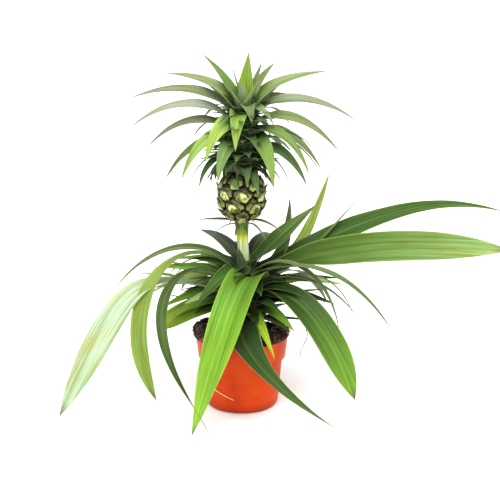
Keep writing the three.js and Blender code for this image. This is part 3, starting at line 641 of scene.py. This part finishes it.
for i in range(crownBacks["count"]):
    turn = mix(crownBacks["from"], crownBacks["to"], (i * 0.618) % 1)
    row = (
        turn,
        14 + i * 4.2,
        dice.uniform(78, 112),
        mix(28, 62, i / 12),
        dice.uniform(-62, -38),
        0.55,
        1.6,
        0,
        1,
    )
    row += (dice.uniform(11, 15), 0, 0.38)
    small.append(makeBlade(row, crownBar, crownFoot, crownBacks["tints"], 30, 6, 6, 0.4))
for i in range(crownScales["count"]):
    share = i / crownScales["count"]
    row = (
        i * goldenTurn % 360,
        1 + 66 * share,
        dice.uniform(*crownScales["length"]),
        62,
        dice.uniform(-50, 5),
        0.5,
        1.4,
        0,
        1,
    )
    row += (dice.uniform(*crownScales["width"]), 0, 0.3, 0.4, 1.2)
    small.append(makeBlade(row, crownBar, crownFoot, deepTints, 18, 6, 5, 0.3, scurf=0.1))
for i in range(crownSkirt["count"]):
    # the lowest leaves spread over the shoulders of the fruit, the last of them dried and curled
    dry = i % 3 == 0
    row = (
        i * goldenTurn % 360,
        dice.uniform(-2, 14),
        dice.uniform(30, 52),
        dice.uniform(20, 44),
        dice.uniform(-84, -40),
        0.5,
        1.5,
    )
    row += (dice.uniform(-20, 20), 1, 6 if dry else dice.uniform(12, 18), 0, 0.3, 0.4, 1.1)
    tints = brownTints if dry else crownSkirt["tints"]
    small.append(makeBlade(row, crownBar, crownFoot, tints, 20, 6, 3, 0.6, scurf=0.1))
addBlades("crown_small_leaves", small, crownLeaf, "crown_leaf")

print("pot")
pot = {
    "height": lip, "rim": 60, "rimFoot": 56.6, "band": 29, "shoulder": 52.8, "foot": 47.5, "corner": 7,
    "wall": 1.6, "recess": 2.6, "pad": 13, "ring": (36.5, 40.5), "holes": 6, "holeRadius": 4,
    "color": "#c2450c", "deep": "#ab360a", "lit": "#cc500f",
    "pale": "#d2642c", "shadedFoot": "#a8321a", "dust": "#8a5236",
}


def arc(center, radius, start, end, steps=6):
    turns = np.radians(np.linspace(start, end, steps))
    return [(center[0] + radius * math.cos(a), center[1] + radius * math.sin(a)) for a in turns]


def lathe(profile, segments):
    turns = around(segments)
    verts = [(r * math.cos(a), r * math.sin(a), z) for r, z in profile for a in turns]
    return verts, tubeFaces(len(profile), segments)


def softCorners(outline, radius):
    # three points in place of each corner, so that edges catch the light
    out = [outline[0]]
    for before, corner, after in zip(outline, outline[1:], outline[2:]):
        a, b, c = (np.array(p, float) for p in (before, corner, after))
        la, lc = np.linalg.norm(a - b), np.linalg.norm(c - b)
        cut = min(radius, la * 0.35, lc * 0.35)
        p, q = b + (a - b) / la * cut, b + (c - b) / lc * cut
        out += [tuple(p), tuple((p + q) / 4 + b / 2), tuple(q)]
    return out + [outline[-1]]


bandFoot = pot["height"] - pot["band"]
innerWall = pot["wall"]
outside = [(0.5, 0), (pot["pad"], 0), (pot["pad"] + 1, pot["recess"]), (pot["ring"][0] - 1, pot["recess"])]
outside += [(pot["ring"][0], 0)] + arc(
    (pot["foot"] - pot["corner"], pot["corner"]), pot["corner"], -90, 0, 9
)
outside += [
    (pot["shoulder"], bandFoot - 1.2), (pot["shoulder"] + 1.4, bandFoot), (pot["rimFoot"], bandFoot + 0.3)
]
outside += [
    (pot["rim"], pot["height"] - 1.6),
    (pot["rim"] - 0.1, pot["height"] - 0.4),
    (pot["rim"] - 0.8, pot["height"]),
]
inside = [(pot["rim"] - innerWall, pot["height"] - 0.8), (pot["rimFoot"] - innerWall, bandFoot + innerWall)]
inside += [(pot["shoulder"] - innerWall, bandFoot - innerWall)]
inside += arc(
    (pot["foot"] - pot["corner"] - 1, pot["corner"] + pot["recess"] + 1), pot["corner"] - 0.8, 0, -90, 6
)
inside += [(0.5, pot["recess"] + innerWall)]

# Injection-moulded polypropylene, satin: faint flow clouds in the colour, fine scuffs from stacking,
# painted shade that darkens the lower edge to a deeper red, and dust near the rim.
plastic, tree, shader = addMaterial("moulded_polypropylene_terracotta")
coords = addNode(tree, "TexCoord").outputs["Object"]
cloud = addNode(tree, "TexNoise", {"Scale": 28, "Detail": 3}, {"Vector": coords}).outputs["Fac"]
grainNoise = addNode(tree, "TexNoise", {"Scale": 900, "Detail": 2}, {"Vector": coords}).outputs["Fac"]
base = addNode(
    tree, "ValToRGB", {"stops": [(0.3, pot["deep"]), (0.5, pot["color"]), (0.75, pot["lit"])]}, {0: cloud}
).outputs[0]
squashed = addNode(tree, "VectorMath", {"operation": "MULTIPLY", 1: (1, 1, 0.16)}, {0: coords})
scuff = addNode(
    tree, "TexNoise", {"Scale": 240, "Detail": 5, "Roughness": 0.75}, {"Vector": squashed.outputs[0]}
)
marks = addNode(
    tree, "MapRange", {"From Min": 0.64, "From Max": 0.72}, {"Value": scuff.outputs["Fac"]}
).outputs["Result"]
height = addNode(tree, "SeparateXYZ", None, {0: coords}).outputs["Z"]
# painted shade: the pot darkens to a deeper red towards its bottom edge
footShade = addNode(
    tree, "MapRange", {"From Min": 0.014, "From Max": 0.001, "To Max": 0.75}, {"Value": height}
).outputs["Result"]
rimDust = addNode(
    tree, "MapRange", {"From Min": 0.084, "From Max": 0.095, "To Max": 0.35}, {"Value": height}
).outputs["Result"]
dusty = addNode(tree, "Math", {"operation": "MULTIPLY"}, {0: rimDust, 1: cloud}).outputs[0]
faint = addNode(tree, "Math", {"operation": "MULTIPLY", 1: 0.35}, {0: marks}).outputs[0]
color = base
for cover, code in ((faint, pot["pale"]), (footShade, pot["shadedFoot"]), (dusty, pot["dust"])):
    color = addNode(tree, "Mix", {**blend, 7: code}, {0: cover, 6: color}).outputs[2]
shader.inputs["IOR"].default_value = 1.49
shader.inputs["Specular IOR Level"].default_value = 0.18
mixedHeight = addNode(
    tree, "Math", {"operation": "MULTIPLY_ADD", 1: 0.25}, {0: grainNoise, 2: cloud}
).outputs[0]
finishSurface(
    tree,
    shader,
    color,
    ({"From Min": 0.35, "From Max": 0.75, "To Min": 0.36, "To Max": 0.55}, scuff.outputs["Fac"]),
    ({"Strength": 0.25, "Distance": 0.0004}, mixedHeight),
)

potVerts, potFaces = lathe(softCorners(outside + inside, 0.5), 160)
shell = addPiece("nursery_pot", potVerts, potFaces, plastic, "pot", None, ["pot"])
cutVerts, cutFaces, circle = [], [], (pot["pad"] + pot["ring"][0]) / 2
for i in range(pot["holes"]):
    a = 2 * math.pi * i / pot["holes"]
    drill = [(pot["holeRadius"] * math.cos(t), pot["holeRadius"] * math.sin(t)) for t in around(24)]
    first = len(cutVerts)
    cutVerts += [(x + circle * math.cos(a), y + circle * math.sin(a), z) for z in (-5, 12) for x, y in drill]
    cutFaces += shifted(tubeFaces(2, 24), first)
cutMesh = bpy.data.meshes.new("drainDrill")
cutMesh.from_pydata([tuple(np.array(v) * mm) for v in cutVerts], [], cutFaces)
drillHolder = bpy.data.objects.new("drainDrill", cutMesh)
bpy.context.scene.collection.objects.link(drillHolder)
cut = shell.modifiers.new("drain", "BOOLEAN")
cut.operation, cut.object, cut.solver = "DIFFERENCE", drillHolder, "EXACT"
bpy.context.view_layer.update()
drilled = bpy.data.meshes.new_from_object(shell.evaluated_get(bpy.context.evaluated_depsgraph_get()))
shell.modifiers.clear()
shell.data = drilled
bpy.data.objects.remove(drillHolder)
for polygon in drilled.polygons:
    polygon.use_smooth = True
drilled.set_sharp_from_angle(angle=math.radians(42))

print("soil, bark and roots")
soilRadius, slide = 57.2, 6.2  # inside the pot's lip, and how far soil hangs out over it
soilLook = {"mound": 13, "lump": 3.2, "crumbs": 620, "roots": 90, "strays": 16, "flakes": 60}


def overhang(angle):
    left = smooth(0.55, 0.95, -np.cos(angle))
    return np.maximum(left, 0.75 * smooth(0.7, 1, np.cos(angle + 0.15)))


def soilHeight(x, y):
    radius, angle = math.hypot(x, y), math.atan2(y, x)
    over = float(overhang(angle))
    share = radius / 58
    level = 92.5 + soilLook["mound"] * float(
        np.interp(share, [0, 0.3, 0.47, 0.66, 0.83, 1], [1, 1, 0.85, 0.55, 0.23, 0])
    )
    level += over * float(np.interp(share, [0.5, 0.66, 0.83, 1.06], [0, 7, 13, 5]))
    rough = noise.fractal((x * 0.09, y * 0.09, 2.0), 0.8, 2.2, 5)
    fine = noise.noise((x * 0.55, y * 0.55, 7.0)) * 0.9
    return level + soilLook["lump"] * rough * 0.8 + fine


def slump(x, y):
    # how much further out the soil lies here, where it has slid over the lip
    return 1 + float(overhang(math.atan2(y, x)) * smooth(40, soilRadius, math.hypot(x, y))) * slide / 57


rings, count = [], 150
for radius in np.linspace(1.5, soilRadius, 62):
    rings.append([(radius * math.cos(a), radius * math.sin(a)) for a in around(count)])
soilVerts = []
for ring in rings:
    for x, y in ring:
        grow = slump(x, y)
        soilVerts.append((x * grow, y * grow, max(soilHeight(x, y), 90.5)))
for x, y in rings[-1]:
    grow = 1 + float(overhang(math.atan2(y, x))) * 5.5 / 57
    soilVerts.append((x * grow, y * grow, 94.4 if grow > 1.02 else 90))
for radius, z in ((56.8, 93), (53, 67), (50.5, 60), (45.3, 14), (38, 5.0), (1.5, 5.0)):
    soilVerts += [(radius * math.cos(a), radius * math.sin(a), z) for a in around(count)]
rows = len(soilVerts) // count
soilFaces = [tuple(reversed(face)) for face in gridFaces(rows, count)]
soilFaces.append(tuple(range(count)))
soilFaces.append(tuple(range((rows - 1) * count + count - 1, (rows - 1) * count - 1, -1)))

# Damp fibrous peat with fine bark: near black-brown, matt, with red-brown fibres and a few grey crumbs.
peat, tree, shader = addMaterial("fibrous_peat")
coords = addNode(tree, "TexCoord").outputs["Object"]
clods = addNode(
    tree, "TexNoise", {"Scale": 260, "Detail": 6, "Roughness": 0.7}, {"Vector": coords}
).outputs["Fac"]
bits = addNode(tree, "TexVoronoi", {"Scale": 420}, {"Vector": coords})
base = addNode(
    tree,
    "ValToRGB",
    {"stops": [(0.3, "#120a07"), (0.5, "#2a1710"), (0.66, "#4a2a1c"), (0.82, "#6b4632")]},
    {0: clods},
).outputs[0]
chips = addNode(tree, "SeparateColor", None, {0: bits.outputs["Color"]}).outputs[0]
someChips = addNode(
    tree, "MapRange", {"From Min": 0.8, "From Max": 0.9, "To Max": 0.5}, {"Value": chips}
).outputs["Result"]
color = addNode(tree, "Mix", {**blend, 7: "#7d5a40"}, {0: someChips, 6: base}).outputs[2]
finishSurface(
    tree,
    shader,
    color,
    ({"To Min": 0.82, "To Max": 1.0}, clods),
    ({"Strength": 0.9, "Distance": 0.0012}, clods),
)
addPiece("peat_mound", soilVerts, soilFaces, peat, "soil", None, ["soil"])


def tube(points, radii, sides=6):
    # a closed tube along points
    points = np.asarray(points, float)
    radii = np.broadcast_to(radii, len(points))
    along = np.gradient(points, axis=0)
    along /= np.linalg.norm(along, axis=1, keepdims=True)
    up = np.array([0.31, 0.2, 0.93]) if abs(along[0][2]) < 0.9 else np.array([1.0, 0.1, 0])
    turns = around(sides)
    verts = []
    for p, a, r in zip(points, along, radii):
        u = np.cross(a, up)
        u /= np.linalg.norm(u)
        v = np.cross(a, u)
        up = np.cross(u, a)
        verts += [p + r * (u * math.cos(t) + v * math.sin(t)) for t in turns]
    return np.array(verts), tubeFaces(len(points), sides)


def joinShapes(shapes):
    verts, faces, start = [], [], 0
    for points, quads in shapes:
        verts.append(points)
        faces += shifted(quads, start)
        start += len(points)
    return np.vstack(verts), faces


def lump(center, size):
    # a small irregular crumb with flattened sides
    shape = dice.normal(0, 1, (3, 3))
    verts = []
    for ring, (z, r) in enumerate(((-1, 0.3), (-0.5, 0.9), (0.3, 1), (0.95, 0.4))):
        verts += [(r * math.cos(a), r * math.sin(a), z) for a in around(7)]
    q, _ = np.linalg.qr(shape)
    verts = np.array(verts) * dice.uniform(0.55, 1.1, 3) * dice.uniform(0.8, 1.2, (28, 1))
    return verts @ q.T * size + center, tubeFaces(4, 7)


crumbs = []
for i in range(soilLook["crumbs"]):
    angle, radius = dice.uniform(0, 2 * np.pi), 57 * math.sqrt(dice.uniform(0.1, 1))
    x, y = radius * math.cos(angle), radius * math.sin(angle)
    grow = slump(x, y)
    size = dice.choice([0.7, 1.0, 1.5, 2.2], p=[0.4, 0.3, 0.2, 0.1])
    crumbs.append(lump(np.array([x * grow, y * grow, max(soilHeight(x, y), 92) + size * 0.3]), size))
addPiece("peat_crumbs", *joinShapes(crumbs), peat, "soil")

# Dry fine root: tan to red-brown, dull, with pale new ends.
rootSkin, tree, shader = addMaterial("dry_fine_root")
coords = addNode(tree, "TexCoord").outputs["Object"]
skin = addNode(tree, "TexNoise", {"Scale": 90, "Detail": 3}, {"Vector": coords}).outputs["Fac"]
color = addNode(
    tree, "ValToRGB", {"stops": [(0.34, "#33241a"), (0.5, "#6e5a48"), (0.68, "#c2ae96")]}, {0: skin}
).outputs[0]
finishSurface(
    tree,
    shader,
    color,
    ({"To Min": 0.7, "To Max": 0.95}, skin),
    ({"Strength": 0.4, "Distance": 0.0003}, skin),
)

roots = []
for i in range(soilLook["roots"]):
    near = dice.choice([0.0, np.pi, dice.uniform(0, 2 * np.pi)], p=[0.36, 0.34, 0.3])
    angle, radius, heading = near + dice.normal(0, 0.45), dice.uniform(34, 58), dice.uniform(0, 2 * np.pi)
    x, y, path = radius * math.cos(angle), radius * math.sin(angle), []
    for step in range(14):
        heading += dice.normal(0, 0.55)
        x, y = x + 1.7 * math.cos(heading), y + 1.7 * math.sin(heading)
        reach = math.hypot(x, y)
        if reach > 59:
            x, y = x * 59 / reach, y * 59 / reach
        grow = slump(x, y)
        arch = math.sin(math.pi * step / 13) * dice.uniform(0.5, 2.4)
        path.append((x * grow, y * grow, max(soilHeight(x, y), 93) + arch))
    roots.append(tube(path, np.linspace(0.42, 0.16, 14)))
for i in range(soilLook["strays"]):
    # loose ends that hang out over the lip on the left
    angle = math.pi + dice.normal(0.1, 0.4)
    x, y, z = 57 * math.cos(angle), 57 * math.sin(angle), dice.uniform(97, 112)
    lean, drop, path = dice.uniform(0.4, 1.5), dice.uniform(-0.2, 0.5), []
    for step in range(12):
        path.append((x, y, z))
        drop -= 0.16 + dice.normal(0, 0.08)
        x, y, z = x + lean * math.cos(angle) + dice.normal(0, 0.35), y + dice.normal(0, 0.5), z + drop
        lean *= 0.86
    roots.append(tube(path, np.linspace(0.4, 0.12, 12)))
thread = [
    (76, -18, 118),
    (79, -20, 114),
    (82, -22, 108),
    (84, -24, 101),
    (83, -25, 94),
    (79, -26, 87),
    (76, -27, 80),
    (75, -28, 72),
]
roots.append(tube(thread, np.linspace(0.75, 0.35, 8)))
addPiece("fine_roots", *joinShapes(roots), rootSkin, "soil")

# Pale straw lying against the pot's side.
strawSkin, tree, shader = addMaterial("dry_straw")
coords = addNode(tree, "TexCoord").outputs["Object"]
skin = addNode(tree, "TexNoise", {"Scale": 60, "Detail": 2}, {"Vector": coords}).outputs["Fac"]
color = addNode(tree, "ValToRGB", {"stops": [(0.35, "#e2b97a"), (0.65, "#f6e2ae")]}, {0: skin}).outputs[0]
finishSurface(
    tree,
    shader,
    color,
    ({"To Min": 0.45, "To Max": 0.7}, skin),
    ({"Strength": 0.3, "Distance": 0.0003}, skin),
)
strawPath = []
for turnAt, z in zip(np.linspace(214, 259, 14), np.linspace(33, 21, 14)):
    radius = float(np.interp(z, [7, 63.8], [pot["foot"], pot["shoulder"]])) + 0.9
    a = math.radians(turnAt)
    strawPath.append((radius * math.cos(a), radius * math.sin(a), z + 0.8 * math.sin(turnAt * 0.09)))
addPiece("straw", *tube(strawPath, np.linspace(0.85, 0.4, 14), 8), strawSkin, "soil")

print("stem and flower stalk")
stalkLook = {"ribs": 9, "ribDepth": 0.35, "girth": 1.08}


def barPiece(name, bar, material, slotName, node, ribs=0, depth=0.0, girth=1.0, sides=54, rows=40):
    verts = []
    for height in np.linspace(bar[0][0], bar[-1][0], rows):
        radius, x = barAt(bar, height)
        for a in around(sides):
            r = radius * girth + depth * math.cos(ribs * a) + 0.35 * noise.noise(
                (3 * math.cos(a), 3 * math.sin(a), height * 0.06)
            )
            verts.append((x + r * math.cos(a), r * math.sin(a), height))
    return addPiece(name, verts, tubeFaces(rows, sides), material, slotName, None, [node])


# Fleshy green stock: mostly under the leaf bases, matt with old leaf scars.
stockSkin, tree, shader = addMaterial("green_stock")
coords = addNode(tree, "TexCoord").outputs["Object"]
scar = addNode(tree, "VectorMath", {"operation": "MULTIPLY", 1: (60, 60, 320)}, {0: coords})
scars = addNode(tree, "TexNoise", {"Scale": 1, "Detail": 4}, {"Vector": scar.outputs[0]}).outputs["Fac"]
color = addNode(
    tree, "ValToRGB", {"stops": [(0.3, "#243a17"), (0.55, "#3e5a26"), (0.75, "#6f8744")]}, {0: scars}
).outputs[0]
finishSurface(
    tree,
    shader,
    color,
    ({"To Min": 0.55, "To Max": 0.8}, scars),
    ({"Strength": 0.5, "Distance": 0.0008}, scars),
)
barPiece("stock", stock, stockSkin, "stem", "stem")
barPiece("crown_core", crownBar, stockSkin, "stem", "crown_stem")

# Fresh flower stalk: fleshy and ribbed, whitish green below, yellow at the joint, green above.
stalkSkin, tree, shader = addMaterial("fleshy_flower_stalk")
coords = addNode(tree, "TexCoord").outputs["Object"]
long = addNode(tree, "VectorMath", {"operation": "MULTIPLY", 1: (520, 520, 26)}, {0: coords})
fibres = addNode(tree, "TexNoise", {"Scale": 1, "Detail": 3}, {"Vector": long.outputs[0]}).outputs["Fac"]
blots = addNode(tree, "TexNoise", {"Scale": 130, "Detail": 2}, {"Vector": coords}).outputs["Fac"]
height = addNode(tree, "SeparateXYZ", None, {0: coords}).outputs["Z"]
wander = addNode(tree, "Math", {"operation": "MULTIPLY_ADD", 1: 0.008}, {0: blots, 2: height}).outputs[0]
share = addNode(tree, "MapRange", {"From Min": 0.2, "From Max": 0.249}, {"Value": wander}).outputs["Result"]
stops = [
    (0.05, "#c3cfa0"),
    (0.44, "#cbd4a8"),
    (0.52, "#cfd04a"),
    (0.64, "#93a836"),
    (0.82, "#6c822c"),
    (1.0, "#4a6426"),
]
base = addNode(tree, "ValToRGB", {"stops": stops}, {0: share}).outputs[0]
lines = addNode(tree, "ValToRGB", {"stops": [(0.35, "#93a06a"), (0.6, "#ffffff")]}, {0: fibres}).outputs[0]
color = addNode(tree, "Mix", {**multiply, 0: 0.7}, {6: base, 7: lines}).outputs[2]
finishSurface(
    tree,
    shader,
    color,
    ({"To Min": 0.35, "To Max": 0.6}, fibres),
    ({"Strength": 0.5, "Distance": 0.0006}, fibres),
)
barPiece(
    "stalk",
    stalk,
    stalkSkin,
    "stalk",
    "flower_stalk",
    stalkLook["ribs"],
    stalkLook["ribDepth"],
    stalkLook["girth"],
)

# Thin papery bracts under the fruit, columns as in the leaf tables without a name.
bractBar = [(228, 6.6, 1), (244.7, 8.5, 0), (258, 20, 0)]
stalkBracts = [
    (180, 11, 54, 16, -6, 0.5, 1.4, 0, 1, 6, -20, 0.4, "#7d9a56 #6b7f50 #5a5f48"),
    (-166, 8, 40, 14, -44, 0.5, 1.4, 0, 1, 4, 0, 0.4, "#7d9a56 #8a9a66 #a0a078"),
    (-38, 9, 42, 20, -58, 0.45, 1.6, 0, 1, 5, 0, 0.4, "#7d9a56 #8fa070 #8a8a66"),
    (-8, 11, 52, 24, -40, 0.5, 1.4, 0, 1, 6, 20, 0.4, "#6f8f44 #8fa070 #8a8a66"),
    (-120, 7, 20, 10, -86, 0.4, 1.6, 0, 1, 4, 0, 0.4, "#8fa85a #6f7f40 #5a5a3a"),
    (-60, 6, 14, 10, -80, 0.4, 1.6, 0, 1, 3, 0, 0.4, "#8fa85a #6f7f40 #5a5a3a"),
    (60, 10, 34, 36, -50, 0.5, 1.4, 0, 1, 5, 0, 0.4, "#7d9a56 #8fa070 #8a8a66"),
    (120, 9, 34, 36, -50, 0.5, 1.4, 0, 1, 5, 0, 0.4, "#7d9a56 #8fa070 #8a8a66"),
]
bracts = [makeBlade(row[:12], bractBar, 232, row[12], 22, 6, 0, 0.5) for row in stalkBracts]
addBlades("stalk_bracts", bracts, crownLeaf, "crown_leaf")

print("fruit")
fruit = {
    "base": 245, "height": 64, "radius": 29.6,
    "around": 7, "rows": 4,  # fruitlets round the fruit, and rows of them
    "dome": 5.8,  # how far a fruitlet stands out over the grooves
    "skin": ["#23260f", "#4a5024", "#848e4c"],
    "bract": ["#e8e4a8", "#b2bc64", "#566430"],
    "blush": "#cf8a58",
    "husk": "#1c150e",
}


def fruitRadius(climb):
    return fruit["radius"] * math.sqrt(max(0.1, 1 - abs(climb) ** 2.7 * 0.93))


# Middles of the fruitlets in (turn, height), every second row half a step round.
rowStep = fruit["height"] / (fruit["rows"] + 0.15)
eyes = []
for row in range(fruit["rows"]):
    for i in range(fruit["around"]):
        turn = 2 * np.pi * (i + 0.5 * (row % 2) + 0.12) / fruit["around"] - np.pi / 2
        eyes.append(
            (turn + dice.normal(0, 0.07), fruit["base"] + rowStep * (row + 0.5) + dice.normal(0, 1.1))
        )
eyes = np.array(eyes)
eyeTone = dice.uniform(0, 1, len(eyes))

across, up = 260, 150
skinVerts, eyeEdge, eyeLocal = [], [], []
for row in range(up + 1):
    climb = mix(-1, 1, row / up)
    z = fruit["base"] + fruit["height"] * row / up
    plain = fruitRadius(climb)
    turns = around(across)
    dx = (turns[:, None] - eyes[None, :, 0] + np.pi) % (2 * np.pi) - np.pi
    dx = dx * plain
    dz = z - eyes[None, :, 1] + 0 * dx
    gap = np.sqrt((dx / 13.4) ** 2 + (dz / 12.2) ** 2)
    order = np.argsort(gap, 1)
    one, two = (np.take_along_axis(gap, order[:, k : k + 1], 1)[:, 0] for k in (0, 1))
    margin = np.clip((two - one) / 0.5, 0, 1)
    nearX = np.take_along_axis(dx, order[:, :1], 1)[:, 0]
    nearZ = np.take_along_axis(dz, order[:, :1], 1)[:, 0]
    dome = fruit["dome"] * (np.sqrt(np.clip(margin, 0, 1)) - 0.75) * min(1, (1 - abs(climb)) * 6 + 0.15)
    dome = dome + 0.7 * np.exp(-(nearX**2 + (nearZ - 1.5) ** 2) / 9)
    for k, a in enumerate(turns):
        r = plain + dome[k] + 0.35 * noise.noise(
            (0.35 * plain * math.cos(a), 0.35 * plain * math.sin(a), 0.35 * z)
        )
        skinVerts.append((r * math.cos(a), r * math.sin(a), z))
    eyeEdge.append(margin)
    eyeLocal.append(np.stack([nearX, nearZ, eyeTone[order[:, 0]]], 1))
skinFaces = tubeFaces(up + 1, across)

# Pineapple rind: tough fruitlets, waxy and half matt, olive above and paler towards the middle, with
# near-black corky grooves between them.
rind, tree, shader = addMaterial("waxy_pineapple_rind")
margin = addNode(tree, "Attribute", {"attribute_name": "margin"}).outputs["Fac"]
local = addNode(tree, "Attribute", {"attribute_name": "eye"}).outputs["Vector"]
parts = addNode(tree, "SeparateXYZ", None, {0: local})
coords = addNode(tree, "TexCoord").outputs["Object"]
mottle = addNode(
    tree, "TexNoise", {"Scale": 260, "Detail": 5, "Roughness": 0.65}, {"Vector": coords}
).outputs["Fac"]
patch = addNode(tree, "TexNoise", {"Scale": 90, "Detail": 2}, {"Vector": coords}).outputs["Fac"]
base = addNode(
    tree,
    "ValToRGB",
    {"stops": [(0.32, fruit["skin"][0]), (0.5, fruit["skin"][1]), (0.68, fruit["skin"][2])]},
    {0: mottle},
).outputs[0]
lightPart = addNode(
    tree, "MapRange", {"From Min": 3.5, "From Max": -5}, {"Value": parts.outputs["Y"]}
).outputs["Result"]
lightPart = addNode(tree, "Math", {"operation": "MULTIPLY"}, {0: lightPart, 1: patch}).outputs[0]
color = addNode(
    tree,
    "Mix",
    {**blend, 7: fruit["bract"][1]},
    {
        0: addNode(
            tree, "Math", {"operation": "MULTIPLY", 1: 1.5, "use_clamp": True}, {0: lightPart}
        ).outputs[0],
        6: base,
    },
).outputs[2]
height = addNode(tree, "SeparateXYZ", None, {0: coords}).outputs["Z"]
low = addNode(tree, "MapRange", {"From Min": 0.266, "From Max": 0.25}, {"Value": height}).outputs["Result"]
warm = addNode(
    tree, "MapRange", {"From Min": 0.56, "From Max": 0.7, "To Max": 0.35}, {"Value": patch}
).outputs["Result"]
blush = addNode(tree, "Math", {"operation": "MULTIPLY"}, {0: low, 1: warm}).outputs[0]
color = addNode(tree, "Mix", {**blend, 7: fruit["blush"]}, {0: blush, 6: color}).outputs[2]
ragged = addNode(tree, "Math", {"operation": "MULTIPLY_ADD", 1: 0.7}, {0: mottle, 2: margin}).outputs[0]
groove = addNode(
    tree, "MapRange", {"From Min": 0.98, "From Max": 0.68, "To Max": 1.0}, {"Value": ragged}
).outputs["Result"]
color = addNode(tree, "Mix", {**blend, 7: fruit["husk"]}, {0: groove, 6: color}).outputs[2]
shader.inputs["IOR"].default_value = 1.45
finishSurface(
    tree,
    shader,
    color,
    ({"To Min": 0.32, "To Max": 0.6}, mottle),
    ({"Strength": 0.8, "Distance": 0.0016}, mottle),
)
rindTags = {"margin": ("FLOAT", np.concatenate(eyeEdge)), "eye": ("FLOAT_VECTOR", np.vstack(eyeLocal))}
addPiece("fruit_rind", skinVerts, skinFaces, rind, "fruit", rindTags, ["fruit"])

# One pointed bract on the lower half of each fruitlet, its tip lifted into a dry brown spine.
bractVerts, bractFaces, bractPlace, start = [], [], [], 0
for k, (turn, z) in enumerate(eyes):
    climb = (z - fruit["base"]) / fruit["height"] * 2 - 1
    wide = dice.uniform(9.5, 12) * math.sqrt(max(0.35, 1 - abs(climb) ** 3))
    tall = dice.uniform(15, 19)
    lean = dice.normal(0, 2.4)
    for i, t in enumerate(np.linspace(0, 1, 15)):
        half = wide * (1 - t**1.25) * (0.82 + 0.3 * math.sin(math.pi * min(t * 1.3, 1))) + 0.25
        zz = z - 8.6 + tall * t
        c = (zz - fruit["base"]) / fruit["height"] * 2 - 1
        out = fruitRadius(
            max(-0.98, min(0.98, c))
        ) + 0.2 + 2.1 * math.sin(math.pi * min(t, 0.62)) + 15 * max(0, t - 0.64) ** 1.2
        for side in (1, -1):
            for v in np.linspace(-1, 1, 9)[:: side]:
                angle = turn + (v * half + lean * t * t) / out
                r = out - 1.5 * abs(v) ** 2.2 * (1 - t) + (0.35 if side < 0 else -0.35)
                bractVerts.append((r * math.cos(angle), r * math.sin(angle), zz))
                bractPlace.append((v, t, eyeTone[k]))
    bractFaces += shifted(tubeFaces(15, 18), start)
    start += 15 * 18

# Fleshy bract, drying at its edge: yellow-green with fine ribs, browning to a horny dark tip.
bractSkin, tree, shader = addMaterial("fleshy_fruit_bract")
local = addNode(tree, "Attribute", {"attribute_name": "bract"}).outputs["Vector"]
parts = addNode(tree, "SeparateXYZ", None, {0: local})
coords = addNode(tree, "TexCoord").outputs["Object"]
mottle = addNode(
    tree, "TexNoise", {"Scale": 300, "Detail": 4, "Roughness": 0.65}, {"Vector": coords}
).outputs["Fac"]
patch = addNode(tree, "TexNoise", {"Scale": 75, "Detail": 2}, {"Vector": coords}).outputs["Fac"]
base = addNode(
    tree,
    "ValToRGB",
    {"stops": [(0.38, fruit["bract"][2]), (0.48, fruit["bract"][1]), (0.58, fruit["bract"][0])]},
    {0: patch},
).outputs[0]
speckle = addNode(
    tree, "ValToRGB", {"stops": [(0.38, "#55602f"), (0.5, "#b9bd8a"), (0.6, "#ffffff")]}, {0: mottle}
).outputs[0]
color = addNode(tree, "Mix", {**multiply, 0: 0.75}, {6: base, 7: speckle}).outputs[2]
height = addNode(tree, "SeparateXYZ", None, {0: coords}).outputs["Z"]
low = addNode(
    tree, "MapRange", {"From Min": 0.268, "From Max": 0.258, "To Max": 0.55}, {"Value": height}
).outputs["Result"]
warm = addNode(
    tree, "MapRange", {"From Min": 0.5, "From Max": 0.6, "To Max": 0.6}, {"Value": patch}
).outputs["Result"]
color = addNode(
    tree,
    "Mix",
    {**blend, 7: fruit["blush"]},
    {0: addNode(tree, "Math", {"operation": "MULTIPLY"}, {0: low, 1: warm}).outputs[0], 6: color},
).outputs[2]
green = addNode(
    tree, "MapRange", {"From Min": 0.282, "From Max": 0.298, "To Max": 0.85}, {"Value": height}
).outputs["Result"]
color = addNode(tree, "Mix", {**blend, 7: "#4a6a2c"}, {0: green, 6: color}).outputs[2]
away = addNode(tree, "Math", {"operation": "ABSOLUTE"}, {0: parts.outputs["X"]}).outputs[0]
ragged = addNode(tree, "Math", {"operation": "MULTIPLY_ADD", 1: 0.4}, {0: mottle, 2: away}).outputs[0]
dryEdge = addNode(
    tree, "MapRange", {"From Min": 0.86, "From Max": 1.04}, {"Value": ragged}
).outputs["Result"]
dryTip = addNode(
    tree, "MapRange", {"From Min": 0.55, "From Max": 0.74}, {"Value": parts.outputs["Y"]}
).outputs["Result"]
dry = addNode(tree, "Math", {"operation": "MAXIMUM"}, {0: dryEdge, 1: dryTip}).outputs[0]
color = addNode(tree, "Mix", {**blend, 7: fruit["husk"]}, {0: dry, 6: color}).outputs[2]
finishSurface(
    tree,
    shader,
    color,
    ({"To Min": 0.38, "To Max": 0.62}, mottle),
    ({"Strength": 0.7, "Distance": 0.0012}, mottle),
)
bractTags = {"bract": ("FLOAT_VECTOR", bractPlace)}
addPiece("fruit_bracts", bractVerts, bractFaces, bractSkin, "fruit", bractTags)

low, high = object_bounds()
print("done")
